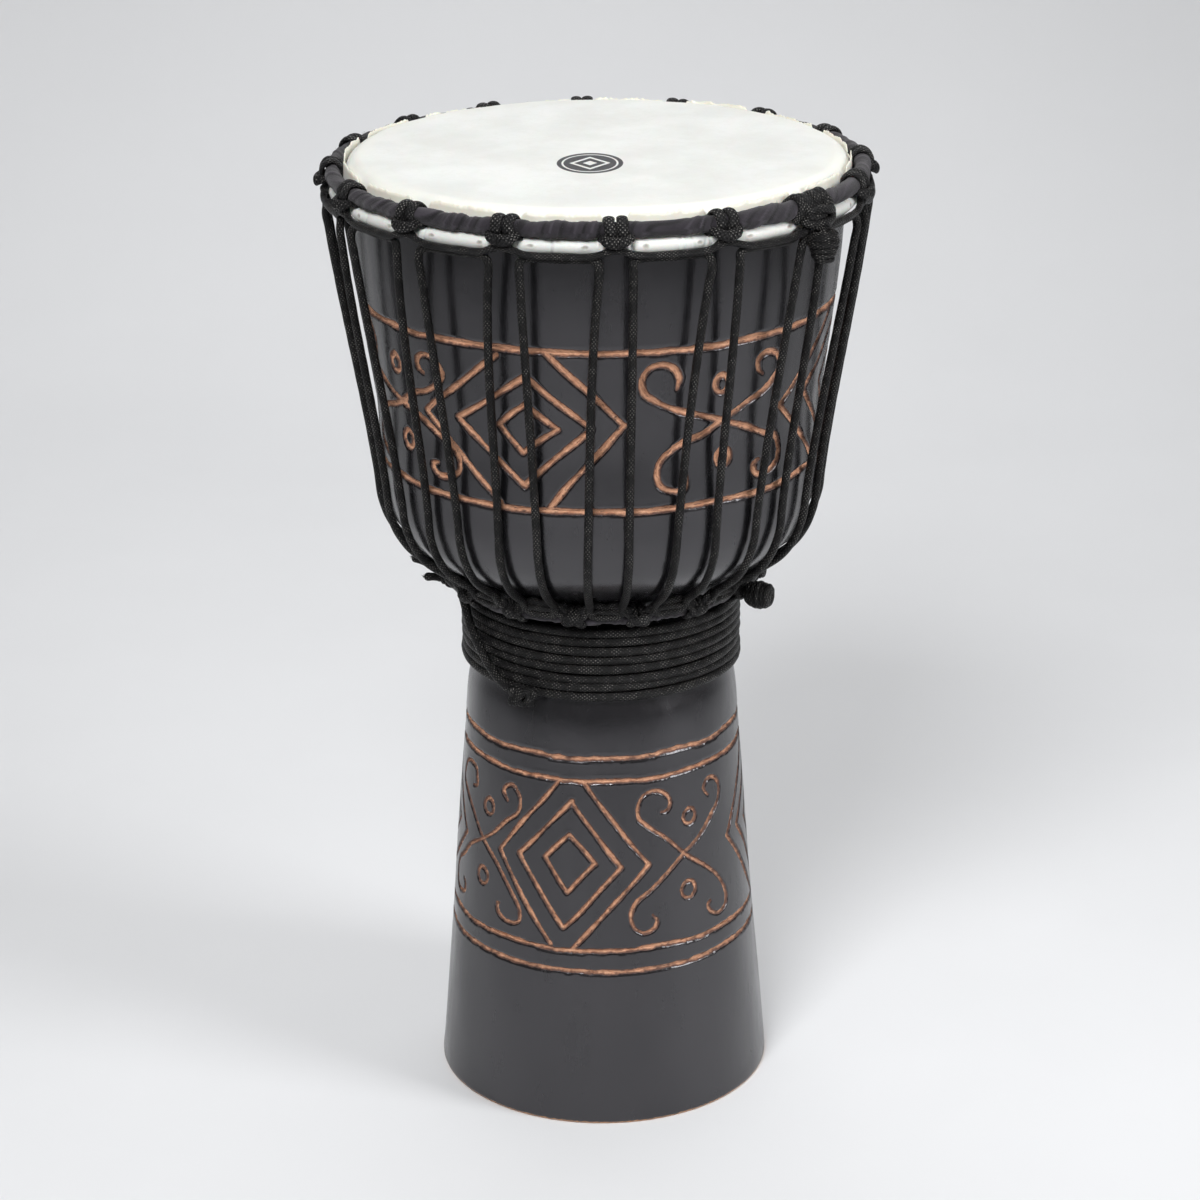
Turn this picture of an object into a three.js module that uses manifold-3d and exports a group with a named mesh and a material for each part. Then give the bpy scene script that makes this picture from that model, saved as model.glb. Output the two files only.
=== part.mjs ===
// Rope-tuned goblet drum (djembe): a hollow carved shell, a skin head gripped between two steel
// rings, a loop rope hitched round the crown ring and another round the waist ring, and one lacing
// rope that zigzags between them and tensions the head. Its tail is wound round the neck.
//
// Millimetres, +Z up. The origin is on the drum's axis at the foot. The front of the drum faces -Y,
// and an azimuth is measured from the front towards +X.
import * as THREE from 'three';
import { mergeVertices } from 'three/addons/utils/BufferGeometryUtils.js';
import Module from 'manifold-3d';

const wasm = await Module();
wasm.setup();

// Driving dimensions
const DRUM_HEIGHT = 610;
const HEAD_RADIUS = 152.2;
const SKIN_THICKNESS = 0.8;
const SKIN_CLEARANCE = 0.3;
const SHELL_SIDES = 36;
const RING_SIDES = 32;

// Lacing: sixteen hitches on each ring, two rope runs to each
const HITCHES = 16;
const HITCH_STEP = 360 / HITCHES;
const CROWN_START = 3.5;
const WAIST_START = 1.8;
const CROWN_HALF_SPREAD = 3.2;
const WAIST_HALF_SPREAD = 5.6;
const LACING_RADIUS = 2.3;
const LOOP_RADIUS = 1.8;
const TIE_RADIUS = 2.2;
const ROPE_SIDES = 5;

// Rings: steel rod diameter and the radius of each wrapping, measured at the rod's centre line
const ROD_RADIUS = 3;
const ROD_SIDES = 6;
const WRAP_SIDES = 6;
const CROWN_RING = { radius: 160.4, height: 600.6, wrap: 4.2 };
const FLESH_RING = { radius: 158.3, height: 590.4 };
const WAIST_RING = { radius: 95, height: 343.5, wrap: 4.2 };
const WRAP_BORE = 3.5;
const WRAP_SEAM_DEGREES = 12;

// Neck winding
const WINDING_TURNS = 8;
const WINDING_PITCH = 5.9;
const WINDING_RADIUS = 86.2;
const WINDING_TOP = 332;
const WINDING_ROPE = 2.5;
const WINDING_STEPS_PER_TURN = 20;

const MATERIALS = {
  shell: new THREE.MeshStandardMaterial({ color: 0x2a2a2c, roughness: 0.38, metalness: 0 }),
  skin: new THREE.MeshStandardMaterial({ color: 0xe9e7df, roughness: 0.62, metalness: 0 }),
  steel: new THREE.MeshStandardMaterial({ color: 0x8d9094, roughness: 0.4, metalness: 1 }),
  cloth: new THREE.MeshStandardMaterial({ color: 0x3b393f, roughness: 0.9, metalness: 0 }),
  loopRope: new THREE.MeshStandardMaterial({ color: 0x232326, roughness: 0.7, metalness: 0 }),
  lacingRope: new THREE.MeshStandardMaterial({ color: 0x1b1b1d, roughness: 0.65, metalness: 0 }),
};

const drum = new THREE.Group();

function addPiece(name, geometry, material) {
  const piece = new THREE.Mesh(geometry, material.clone());
  piece.name = name;
  drum.add(piece);
  return piece;
}

// Geometry helpers

function radians(degrees) {
  return THREE.MathUtils.degToRad(degrees);
}

function onDrum(radius, azimuth, height) {
  const angle = radians(azimuth);
  return new THREE.Vector3(radius * Math.sin(angle), -radius * Math.cos(angle), height);
}

// A lathe turned about Z; the profile is a list of [radius, height].
function turned(profile, sides, startAzimuth = 0) {
  const points = profile.map(([radius, height]) => new THREE.Vector2(radius, height));
  const geometry = new THREE.LatheGeometry(points, sides, radians(startAzimuth), Math.PI * 2);
  return geometry.rotateX(Math.PI / 2);
}

function arc(centre, radius, fromDegrees, toDegrees, steps) {
  const points = [];
  for (let i = 0; i <= steps; i += 1) {
    const angle = radians(fromDegrees + ((toDegrees - fromDegrees) * i) / steps);
    points.push([centre[0] + radius * Math.cos(angle), centre[1] + radius * Math.sin(angle)]);
  }
  return points;
}

// A rope route sampled at its own control points, so that close bends keep close steps.
class RopeRoute extends THREE.CatmullRomCurve3 {
  getPointAt(u) {
    return this.getPoint(u);
  }

  getTangentAt(u) {
    return this.getTangent(u);
  }
}

function rope(points, radius) {
  const section = new THREE.Shape();
  for (let i = 0; i < ROPE_SIDES; i += 1) {
    const angle = (Math.PI * 2 * i) / ROPE_SIDES;
    const x = radius * Math.cos(angle);
    const y = radius * Math.sin(angle);
    if (i === 0) {
      section.moveTo(x, y);
    } else {
      section.lineTo(x, y);
    }
  }
  section.closePath();
  return new THREE.ExtrudeGeometry(section, {
    steps: points.length - 1,
    extrudePath: new RopeRoute(points),
    curveSegments: 1,
  });
}

function toSolid(geometry) {
  const plain = geometry.clone();
  plain.deleteAttribute('normal');
  plain.deleteAttribute('uv');
  const merged = mergeVertices(plain, 1e-4);
  return new wasm.Manifold(new wasm.Mesh({
    numProp: 3,
    vertProperties: new Float32Array(merged.attributes.position.array),
    triVerts: new Uint32Array(merged.index.array),
  }));
}

function joined(geometries) {
  const whole = geometries.map(toSolid).reduce((sum, piece) => sum.add(piece));
  const mesh = whole.getMesh();
  const geometry = new THREE.BufferGeometry();
  geometry.setAttribute('position', new THREE.BufferAttribute(mesh.vertProperties, 3));
  geometry.setIndex(new THREE.BufferAttribute(mesh.triVerts, 1));
  geometry.computeVertexNormals();
  return geometry;
}

// Shell: one turned and hollowed piece of wood, open at both ends

const BEARING_TOP = DRUM_HEIGHT - SKIN_THICKNESS - SKIN_CLEARANCE;
const BEARING_RADIUS = HEAD_RADIUS - SKIN_THICKNESS - SKIN_CLEARANCE;
const BEARING_ROUND = 8;
const bearingCentre = [BEARING_RADIUS - BEARING_ROUND, BEARING_TOP - BEARING_ROUND];

const shellOutside = [
  [106.4, 0],
  [107.8, 1.6],
  [98.4, 106],
  [88.2, 234],
  [84.9, 271],
  [82.1, 283],
  [82, 300],
  [82, 331],
  [84.2, 338.5],
  [87.2, 345.5],
  [91, 350.3],
  [97, 354],
  [110, 361.8],
  [117.5, 367.8],
  [124.8, 376.2],
  [131.2, 390],
  [135.6, 418],
  [138, 460],
  [142.8, 500],
  [148.6, 552],
];
const bearingEdge = arc(bearingCentre, BEARING_ROUND, 0, 90, 3);
const shellInside = [
  [137.5, BEARING_TOP - 3],
  [134.5, 592],
  [128.5, 500],
  [121.5, 420],
  [110, 384],
  [74, 350],
  [66, 318],
  [67, 270],
  [86, 0],
];
addPiece(
  'shell',
  turned([...shellOutside, ...bearingEdge, ...shellInside, shellOutside[0]], SHELL_SIDES),
  MATERIALS.shell,
);

// Skin: over the bearing edge, down the side, round the flesh ring and up inside the crown ring.
// The face that looks outward on the drum's side becomes the inside of the roll.

const HALF_SKIN = SKIN_THICKNESS / 2;
const HEAD_ROUND = BEARING_ROUND + SKIN_CLEARANCE;
const SIDE_BOTTOM = 594.4;
const ROLL_RADIUS = ROD_RADIUS + 1.2;
const ROLL_START = 180;
const ROLL_END = 460;
const TRIM_RADIUS = HEAD_RADIUS + 1.2;
const TRIM_TOP = 606.8;
const rollCentre = [FLESH_RING.radius, FLESH_RING.height];
const skinOutside = [
  [0, DRUM_HEIGHT],
  ...arc(bearingCentre, HEAD_ROUND + SKIN_THICKNESS, 90, 0, 3),
  [HEAD_RADIUS, SIDE_BOTTOM],
  ...arc(rollCentre, ROLL_RADIUS - HALF_SKIN, ROLL_START, ROLL_END, 8),
  [154.4, 595],
  [TRIM_RADIUS - HALF_SKIN, 596.7],
  [TRIM_RADIUS - HALF_SKIN, TRIM_TOP],
];
const skinInside = [
  [TRIM_RADIUS + HALF_SKIN, TRIM_TOP],
  [TRIM_RADIUS + HALF_SKIN, 597.2],
  [154.9, 595.8],
  ...arc(rollCentre, ROLL_RADIUS + HALF_SKIN, ROLL_END, ROLL_START, 8),
  [HEAD_RADIUS - SKIN_THICKNESS, SIDE_BOTTOM],
  ...arc(bearingCentre, HEAD_ROUND, 0, 90, 3),
  [0, DRUM_HEIGHT - SKIN_THICKNESS],
];
addPiece(
  'drumhead_skin',
  turned([...skinOutside, ...skinInside].reverse(), SHELL_SIDES),
  MATERIALS.skin,
);

// Rings and their cloth wrapping; each hitch sits at the middle of a side of the ring

const sideToCorner = 1 / Math.cos(Math.PI / RING_SIDES);

function ringProfile(centre, radius, sides) {
  return arc([centre.radius * sideToCorner, centre.height], radius, 0, 360, sides);
}

function steelRing(name, centre, startAzimuth) {
  const corner = startAzimuth + 180 / RING_SIDES;
  addPiece(name, turned(ringProfile(centre, ROD_RADIUS, ROD_SIDES), RING_SIDES, corner), MATERIALS.steel);
}

// The cloth is a sleeve with a narrow seam along the inside of the ring.
function clothWrap(name, centre, startAzimuth) {
  const corner = startAzimuth + 180 / RING_SIDES;
  const middle = [centre.radius * sideToCorner, centre.height];
  const from = 180 + WRAP_SEAM_DEGREES;
  const to = 540 - WRAP_SEAM_DEGREES;
  const outside = arc(middle, centre.wrap, from, to, WRAP_SIDES);
  const inside = arc(middle, WRAP_BORE, to, from, WRAP_SIDES);
  addPiece(name, turned([...outside, ...inside, outside[0]], RING_SIDES, corner), MATERIALS.cloth);
}

addPiece(
  'flesh_ring',
  turned(arc(rollCentre, ROD_RADIUS, 0, 360, ROD_SIDES), SHELL_SIDES),
  MATERIALS.steel,
);
steelRing('crown_ring', CROWN_RING, CROWN_START);
clothWrap('crown_ring_wrap', CROWN_RING, CROWN_START);
steelRing('waist_ring', WAIST_RING, WAIST_START + HITCH_STEP / 2);
clothWrap('waist_ring_wrap', WAIST_RING, WAIST_START + HITCH_STEP / 2);

// Loop ropes: at each hitch two turns go round the wrapped ring, held by a bar across the front

const TURN_WIDTH = 5.4;
const TURN_OFFSET = 3.1;
const TURN_CLEARANCE = 0.35;
const BAR_LIFT = 1.2;

// One turn round a ring: a flattened collar cut from the plane through the drum's axis.
// reach gives [degrees, distance from the ring's centre] round the outside of the collar.
function ringTurn(ring, azimuth, offset, reach) {
  const collar = new THREE.Shape();
  reach.forEach(([degrees, distance], index) => {
    const x = distance * Math.cos(radians(degrees));
    const y = distance * Math.sin(radians(degrees));
    if (index === 0) {
      collar.moveTo(x, y);
    } else {
      collar.lineTo(x, y);
    }
  });
  collar.closePath();
  const bore = new THREE.Path();
  const boreRadius = (ring.wrap + TURN_CLEARANCE) / Math.cos(Math.PI / WRAP_SIDES);
  for (let i = 0; i < WRAP_SIDES; i += 1) {
    const angle = (Math.PI * 2 * (i + 0.5)) / WRAP_SIDES;
    const x = boreRadius * Math.cos(angle);
    const y = boreRadius * Math.sin(angle);
    if (i === 0) {
      bore.moveTo(x, y);
    } else {
      bore.lineTo(x, y);
    }
  }
  bore.closePath();
  collar.holes.push(bore);
  const geometry = new THREE.ExtrudeGeometry(collar, { depth: TURN_WIDTH, bevelEnabled: false });
  geometry.translate(ring.radius, ring.height, offset - TURN_WIDTH / 2);
  const basis = new THREE.Matrix4();
  const outward = onDrum(1, azimuth, 0);
  const up = new THREE.Vector3(0, 0, 1);
  basis.makeBasis(outward, up, outward.clone().cross(up));
  return geometry.applyMatrix4(basis);
}

function bar(radius, azimuth, height, halfDegrees, thickness) {
  const points = [-1, -0.4, 0.4, 1].map((share) => (
    onDrum(radius, azimuth + share * halfDegrees, height + BAR_LIFT * share * share)
  ));
  return rope(points, thickness);
}

const CROWN_REACH = [
  [0, 7.6], [50, 8.2], [100, 7.2], [150, 6.4], [210, 6.4], [245, 5.9], [285, 5.5], [315, 9.4],
];
const WAIST_REACH = [[0, 7.2], [50, 7], [100, 6.6], [150, 6.4], [210, 6.4], [260, 6.4], [310, 7.4]];

function crownHitch(azimuth) {
  return [
    ringTurn(CROWN_RING, azimuth, -TURN_OFFSET, CROWN_REACH),
    ringTurn(CROWN_RING, azimuth, TURN_OFFSET, CROWN_REACH),
    bar(166.2, azimuth, 592.4, 2.9, 2.2),
  ];
}

function crownSwag(azimuth) {
  const ends = [[1.2, 166.6, 591.2], [3, 166.2, 588.7], [7, 165.3, 586.8]];
  const route = [
    ...ends.map(([turn, radius, height]) => onDrum(radius, azimuth + turn, height)),
    onDrum(165.2, azimuth + HITCH_STEP / 2, 586.4),
    ...ends.reverse().map(([turn, radius, height]) => (
      onDrum(radius, azimuth + HITCH_STEP - turn, height)
    )),
  ];
  return rope(route, LOOP_RADIUS);
}

function waistHitch(azimuth) {
  return ringTurn(WAIST_RING, azimuth, 0, WAIST_REACH);
}

function waistSwag(azimuth) {
  const ends = [[1.5, 100.2, 347.5], [4, 101, 350.6], [7.5, 101, 352.4]];
  const route = [
    ...ends.map(([turn, radius, height]) => onDrum(radius, azimuth + turn, height)),
    onDrum(101, azimuth + HITCH_STEP / 2, 352.6),
    ...ends.reverse().map(([turn, radius, height]) => (
      onDrum(radius, azimuth + HITCH_STEP - turn, height)
    )),
  ];
  return rope(route, LOOP_RADIUS);
}

const crownLoops = [];
const waistLoops = [];
for (let i = 0; i < HITCHES; i += 1) {
  const crownAzimuth = CROWN_START + i * HITCH_STEP;
  const waistAzimuth = WAIST_START + (i + 0.5) * HITCH_STEP;
  crownLoops.push(...crownHitch(crownAzimuth), crownSwag(crownAzimuth));
  waistLoops.push(waistHitch(waistAzimuth), waistSwag(waistAzimuth));
}
addPiece('crown_loop_rope', joined(crownLoops), MATERIALS.loopRope);
addPiece('waist_loop_rope', joined(waistLoops), MATERIALS.loopRope);

// Lacing rope: along under each crown swag, down the bowl, under a waist swag and up again.
// Each entry is [share of the run from crown spread to waist spread, radius, height].

const LACING_RUN = [
  [0, 165.2, 579],
  [0.08, 164, 569],
  [0.82, 138.6, 410],
  [0.88, 136.8, 394],
  [0.92, 132.2, 381],
  [0.96, 122.4, 366.8],
  [0.99, 112, 358.6],
  [1, 106, 354.8],
  [1, 105.4, 350.6],
];

function lacingRun(hitchIndex, side) {
  const crownAzimuth = CROWN_START + hitchIndex * HITCH_STEP + side * CROWN_HALF_SPREAD;
  const waistAzimuth = WAIST_START + hitchIndex * HITCH_STEP + side * WAIST_HALF_SPREAD;
  return LACING_RUN.map(([share, radius, height]) => (
    onDrum(radius, THREE.MathUtils.lerp(crownAzimuth, waistAzimuth, share), height)
  ));
}

const CROWN_TURN = [4.8, 11.25, 17.7];
// The last turn stops under the joining hitch, short of the strand it started from.
const LAST_CROWN_TURN = [4.8, 11.25, 15.4];

function lacingCrownTurn(hitchIndex, turns) {
  const azimuth = CROWN_START + hitchIndex * HITCH_STEP;
  return turns.map((turn) => onDrum(166, azimuth + turn, 582));
}

function lacingWaistTurn(hitchIndex) {
  const azimuth = WAIST_START + hitchIndex * HITCH_STEP;
  return [-4, 0, 4].map((turn) => onDrum(102.2, azimuth + turn, 346.9));
}

const FIRST_HITCH = 2;
const lacingRoute = [];
for (let i = 0; i < HITCHES; i += 1) {
  const hitch = FIRST_HITCH + i;
  lacingRoute.push(
    ...lacingRun(hitch, -1),
    ...lacingWaistTurn(hitch),
    ...lacingRun(hitch, 1).reverse(),
    ...lacingCrownTurn(hitch, i < HITCHES - 1 ? CROWN_TURN : LAST_CROWN_TURN),
  );
}
addPiece('lacing_rope', rope(lacingRoute, LACING_RADIUS), MATERIALS.lacingRope);

// Neck winding: the lacing rope's tail, eight turns down the neck

function windingRoute() {
  const points = [];
  const steps = WINDING_TURNS * WINDING_STEPS_PER_TURN;
  for (let i = 0; i <= steps; i += 1) {
    const turns = i / WINDING_STEPS_PER_TURN;
    points.push(onDrum(WINDING_RADIUS, 180 + turns * 360, WINDING_TOP - turns * WINDING_PITCH));
  }
  return points;
}
addPiece('neck_winding', rope(windingRoute(), WINDING_ROPE), MATERIALS.lacingRope);

// The strand that ties the winding off crosses it from the waist ring to a knot on the last turn.
const TIE_STRAND_RADIUS = 91.6;
const tieStrand = [[-69, 333], [-66, 327], [-62, 318], [-56, 309], [-50, 300], [-44, 292], [-39, 286]];
addPiece(
  'tie_strand',
  rope(tieStrand.map(([azimuth, height]) => onDrum(TIE_STRAND_RADIUS, azimuth, height)), TIE_RADIUS),
  MATERIALS.lacingRope,
);

// Knots: turned barrels of coils, laid along a direction

const COIL_VALLEY = 0.84;
const COIL_SEAM = 0.08;

function barrel(coils, radius, length, sides) {
  const profile = [[0, 0]];
  const coilHeight = length / coils;
  for (let i = 0; i < coils; i += 1) {
    profile.push([radius * COIL_VALLEY, (i + COIL_SEAM) * coilHeight]);
    profile.push([radius, (i + 0.5) * coilHeight]);
  }
  profile.push([radius * COIL_VALLEY, length]);
  profile.push([0, length]);
  return turned(profile, sides);
}

function addBarrel(name, geometry, position, direction) {
  const piece = addPiece(name, geometry, MATERIALS.lacingRope);
  piece.position.copy(position);
  piece.quaternion.setFromUnitVectors(new THREE.Vector3(0, 0, 1), direction.clone().normalize());
}

addBarrel('crown_stopper_knot', barrel(4, 8.6, 16.5, 12), onDrum(173.2, 48.5, 569.8), onDrum(0, 0, 1));
addBarrel('waist_stopper_knot', barrel(4, 8.6, 16, 12), onDrum(107, 58, 344), onDrum(1, 62, 0));
addBarrel('tie_knot', barrel(2, 5.2, 11, 10), onDrum(94.6, -34, 286.6), onDrum(0.6, 60, 0.1));
addBarrel('upper_rope_end', barrel(2, 3, 13, 8), onDrum(105.5, -78, 346), onDrum(1, -84, 0.25));
addBarrel('lower_rope_end', barrel(2, 3, 9, 8), onDrum(104, -72, 343), onDrum(1, -78, -0.15));

export default drum;
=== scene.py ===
"""Visual model of a rope-tuned goblet drum (djembe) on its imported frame.

Shapes are worked out in millimetres, with azimuth measured from the front (-Y) towards +X,
and written to Blender in metres.
"""

import math

import bpy
import numpy as np
from mathutils import Matrix, Vector


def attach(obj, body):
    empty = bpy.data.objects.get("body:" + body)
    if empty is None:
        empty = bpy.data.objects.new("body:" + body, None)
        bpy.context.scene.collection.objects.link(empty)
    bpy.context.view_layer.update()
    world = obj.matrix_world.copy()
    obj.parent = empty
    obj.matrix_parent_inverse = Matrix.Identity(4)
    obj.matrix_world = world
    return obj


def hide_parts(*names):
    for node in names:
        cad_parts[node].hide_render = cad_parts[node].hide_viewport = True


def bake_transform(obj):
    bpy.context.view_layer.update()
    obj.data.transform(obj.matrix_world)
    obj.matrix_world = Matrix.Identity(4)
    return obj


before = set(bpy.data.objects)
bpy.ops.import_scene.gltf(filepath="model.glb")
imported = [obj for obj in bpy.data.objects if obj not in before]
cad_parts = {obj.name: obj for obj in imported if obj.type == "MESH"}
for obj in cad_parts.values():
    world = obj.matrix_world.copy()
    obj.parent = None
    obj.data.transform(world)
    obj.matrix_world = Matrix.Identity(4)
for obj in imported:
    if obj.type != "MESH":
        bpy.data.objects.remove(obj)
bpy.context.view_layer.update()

MM = 0.001

# Driving dimensions. All but the last two are the frame's own; the ropes are drawn a little
# thicker than their CAD solids, which have radii of 2.3 and 1.8.
HEAD_TOP = 610.0
HEAD_RADIUS = 152.2
SKIN = 0.8
CLEARANCE = 0.3
HITCHES = 16
HITCH_STEP = 360 / HITCHES
CROWN_START = 3.5
WAIST_START = 1.8
CROWN_SPREAD = 3.2
WAIST_SPREAD = 5.6
CROWN_R, CROWN_Z = 160.4, 600.6
FLESH_R, FLESH_Z = 158.3, 590.4
WAIST_R, WAIST_Z = 95.0, 343.5
LACING_RADIUS = 2.5
LOOP_RADIUS = 1.9

# Distance between the ribs that a tube can have along it
RIB_PITCH = 1.9


# ---------------------------------------------------------------- geometry helpers

def on_drum(radius, azimuth, height):
    angle = np.radians(np.asarray(azimuth, float))
    parts = np.broadcast_arrays(radius * np.sin(angle), -radius * np.cos(angle), height)
    return np.stack(parts, axis=-1).astype(float)


def unit(v):
    return v / np.maximum(np.linalg.norm(v, axis=-1, keepdims=True), 1e-9)


def smoothstep(x, low, high):
    t = np.clip((x - low) / (high - low), 0, 1)
    return t * t * (3 - 2 * t)


def wobble(x, seed, waves, low, high):
    """A smooth repeatable unevenness of about unit size along x; whole-number waves keep it periodic."""
    draw = np.random.default_rng(seed)
    total = np.zeros_like(x, dtype=float)
    for _ in range(waves):
        total += np.sin(x * draw.integers(low, high + 1) + draw.uniform(0, 2 * np.pi))
    return total / math.sqrt(waves)


def route(points, step):
    """Evenly spaced points along a smooth curve through the given ones, in 2-D or 3-D."""
    p = np.asarray(points, float)
    chord = np.linalg.norm(np.diff(p, axis=0), axis=1)
    t = np.r_[0, np.cumsum(chord)]
    slope = np.diff(p, axis=0) / chord[:, None]
    lean = np.empty_like(p)
    lean[0], lean[-1] = slope[0], slope[-1]
    before, after = chord[:-1, None], chord[1:, None]
    lean[1:-1] = (slope[:-1] * after + slope[1:] * before) / (before + after)
    fine = np.linspace(0, t[-1], max(8, int(4 * t[-1] / step)))
    i = np.clip(np.searchsorted(t, fine, side="right") - 1, 0, len(chord) - 1)
    h = chord[i][:, None]
    q = ((fine - t[i]) / chord[i])[:, None]
    curve = (
        (2 * q**3 - 3 * q**2 + 1) * p[i]
        + (q**3 - 2 * q**2 + q) * h * lean[i]
        + (3 * q**2 - 2 * q**3) * p[i + 1]
        + (q**3 - q**2) * h * lean[i + 1]
    )
    length = np.r_[0, np.cumsum(np.linalg.norm(np.diff(curve, axis=0), axis=1))]
    even = np.linspace(0, length[-1], max(3, int(round(length[-1] / step)) + 1))
    return np.stack([np.interp(even, length, curve[:, k]) for k in range(p.shape[1])], axis=-1)


def lengths(path):
    return np.r_[0, np.cumsum(np.linalg.norm(np.diff(path, axis=0), axis=1))]


def carried_normals(tangent, first):
    """Normals carried along a path without twist."""
    normals = np.empty_like(tangent)
    n = first - tangent[0] * first.dot(tangent[0])
    for i, t in enumerate(tangent):
        n = n - t * n.dot(t)
        n = n / max(math.sqrt(n.dot(n)), 1e-9)
        normals[i] = n
    return normals


class Pile:
    """Quads and triangles gathered from many parts into one mesh."""

    def __init__(self):
        self.verts, self.quads, self.tris = [], [], []
        self.quad_uvs, self.tri_uvs = [], []
        self.count = 0

    def put(self, verts, quads, quad_uvs, tris=None, tri_uvs=None):
        self.verts.append(verts)
        self.quads.append(quads + self.count)
        self.quad_uvs.append(quad_uvs)
        if tris is not None:
            self.tris.append(tris + self.count)
            self.tri_uvs.append(tri_uvs)
        self.count += len(verts)

    def object(self, name, material, body, slot=None, attributes=None):
        verts = np.concatenate(self.verts) * MM
        quads = np.concatenate(self.quads)
        faces = quads.tolist()
        uvs = np.concatenate(self.quad_uvs).reshape(-1, 2)
        if self.tris:
            faces += np.concatenate(self.tris).tolist()
            uvs = np.concatenate([uvs, np.concatenate(self.tri_uvs).reshape(-1, 2)])
        mesh = bpy.data.meshes.new(name)
        mesh.from_pydata(verts.tolist(), [], faces)
        mesh.uv_layers.new(name="UVMap").data.foreach_set("uv", uvs.astype(np.float32).ravel())
        for key, values in (attributes or {}).items():
            mesh.attributes.new(key, "FLOAT", "POINT").data.foreach_set("value", values.astype(np.float32))
        mesh.polygons.foreach_set("use_smooth", np.ones(len(faces), bool))
        mesh.materials.append(material)
        mesh.update()
        made = bpy.data.objects.new(name, mesh)
        bpy.context.scene.collection.objects.link(made)
        if body:
            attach(made, body)
        return made


def grid_faces(rows, cols, closed_cols=True, closed_rows=False):
    i = np.arange(rows if closed_rows else rows - 1)
    j = np.arange(cols if closed_cols else cols - 1)
    i, j = np.meshgrid(i, j, indexing="ij")
    i, j = i.ravel(), j.ravel()
    i2, j2 = (i + 1) % rows, (j + 1) % cols
    return np.stack([i * cols + j, i * cols + j2, i2 * cols + j2, i2 * cols + j], axis=-1)


def turned(profile, cols):
    """Azimuth, radius and height of every vertex of a profile turned about the drum's axis."""
    azimuth = np.tile(np.arange(cols) * 360 / cols, len(profile))
    return azimuth, np.repeat(profile[:, 0], cols), np.repeat(profile[:, 1], cols)


def turned_pile(verts, along, cols, closed_rows=False):
    """A pile holding one turned surface; `along` is the distance along its profile at each row edge."""
    rows = len(verts) // cols
    pile = Pile()
    quads = grid_faces(rows, cols, closed_rows=closed_rows)
    pile.put(verts, quads, grid_uvs(np.arange(cols + 1) / cols, along, quads, cols))
    return pile


def grid_uvs(across, along, quads, cols):
    """Corner UVs of a grid: across is one value per column edge, along one per row edge."""
    rows_of, cols_of = quads[:, 0] // cols, quads[:, 0] % cols
    u0, u1 = across[cols_of], across[cols_of + 1]
    v0, v1 = along[rows_of], along[rows_of + 1]
    return np.stack([u0, v0, u1, v0, u1, v1, u0, v1], axis=-1).reshape(-1, 4, 2)


def tube(
    pile, path, radius, sides=10, width=1.0, normals=None, first=(0, 0, 1),
    closed=False, lump=0.0, ribs=0.0,
):
    """A rope or rod along a path: radius is its half thickness along the normals, width scales the rest.

    UVs run 0-1 round it and in millimetres along it. Open ends are rounded off.
    """
    n = len(path)
    if closed:
        tangent = unit(np.roll(path, -1, axis=0) - np.roll(path, 1, axis=0))
        along = np.r_[lengths(path), 0]
        along[-1] = along[-2] + np.linalg.norm(path[0] - path[-1])
    else:
        tangent = unit(np.gradient(path, axis=0))
        along = np.r_[lengths(path), 0]
    if normals is None:
        normals = carried_normals(tangent, np.asarray(first, float))
    else:
        normals = unit(normals - tangent * (normals * tangent).sum(1, keepdims=True))
    side = np.cross(tangent, normals)
    size = np.broadcast_to(np.asarray(radius, float), n).copy()
    wide = size * width
    if lump:
        swell = 1 + lump * wobble(along[:n] * 0.05, int(abs(path[0].sum())) + n, 5, 3, 14)
        size, wide = size * swell, wide * swell
    if ribs:
        size = size * (1 + ribs * np.cos(along[:n] * 2 * np.pi / RIB_PITCH))
    if not closed:
        taper = np.minimum(np.arange(n), np.arange(n)[::-1])
        close = np.interp(taper, [0, 1, 2], [0.62, 0.9, 1.0])
        size, wide = size * close, wide * close
    angle = 2 * np.pi * np.arange(sides) / sides
    ring = (
        normals[:, None] * (size[:, None] * np.cos(angle))[..., None]
        + side[:, None] * (wide[:, None] * np.sin(angle))[..., None]
    )
    verts = (path[:, None] + ring).reshape(-1, 3)
    quads = grid_faces(n, sides, closed_rows=closed)
    across = np.arange(sides + 1) / sides
    uvs = grid_uvs(across, along, quads, sides)
    if closed:
        pile.put(verts, quads, uvs)
        return
    tips = np.stack([path[0] - tangent[0] * size[0] * 0.4, path[-1] + tangent[-1] * size[-1] * 0.4])
    j = np.arange(sides)
    j2 = (j + 1) % sides
    start = np.stack([np.full(sides, len(verts)), j2, j], axis=-1)
    end = np.stack([np.full(sides, len(verts) + 1), (n - 1) * sides + j, (n - 1) * sides + j2], axis=-1)
    tris = np.concatenate([start, end])
    tri_uvs = np.zeros((2 * sides, 3, 2))
    tri_uvs[:, :, 0] = np.tile(j / sides, 2)[:, None]
    tri_uvs[sides:, :, 1] = along[n - 1]
    pile.put(np.concatenate([verts, tips]), quads, uvs, tris, tri_uvs)


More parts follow.
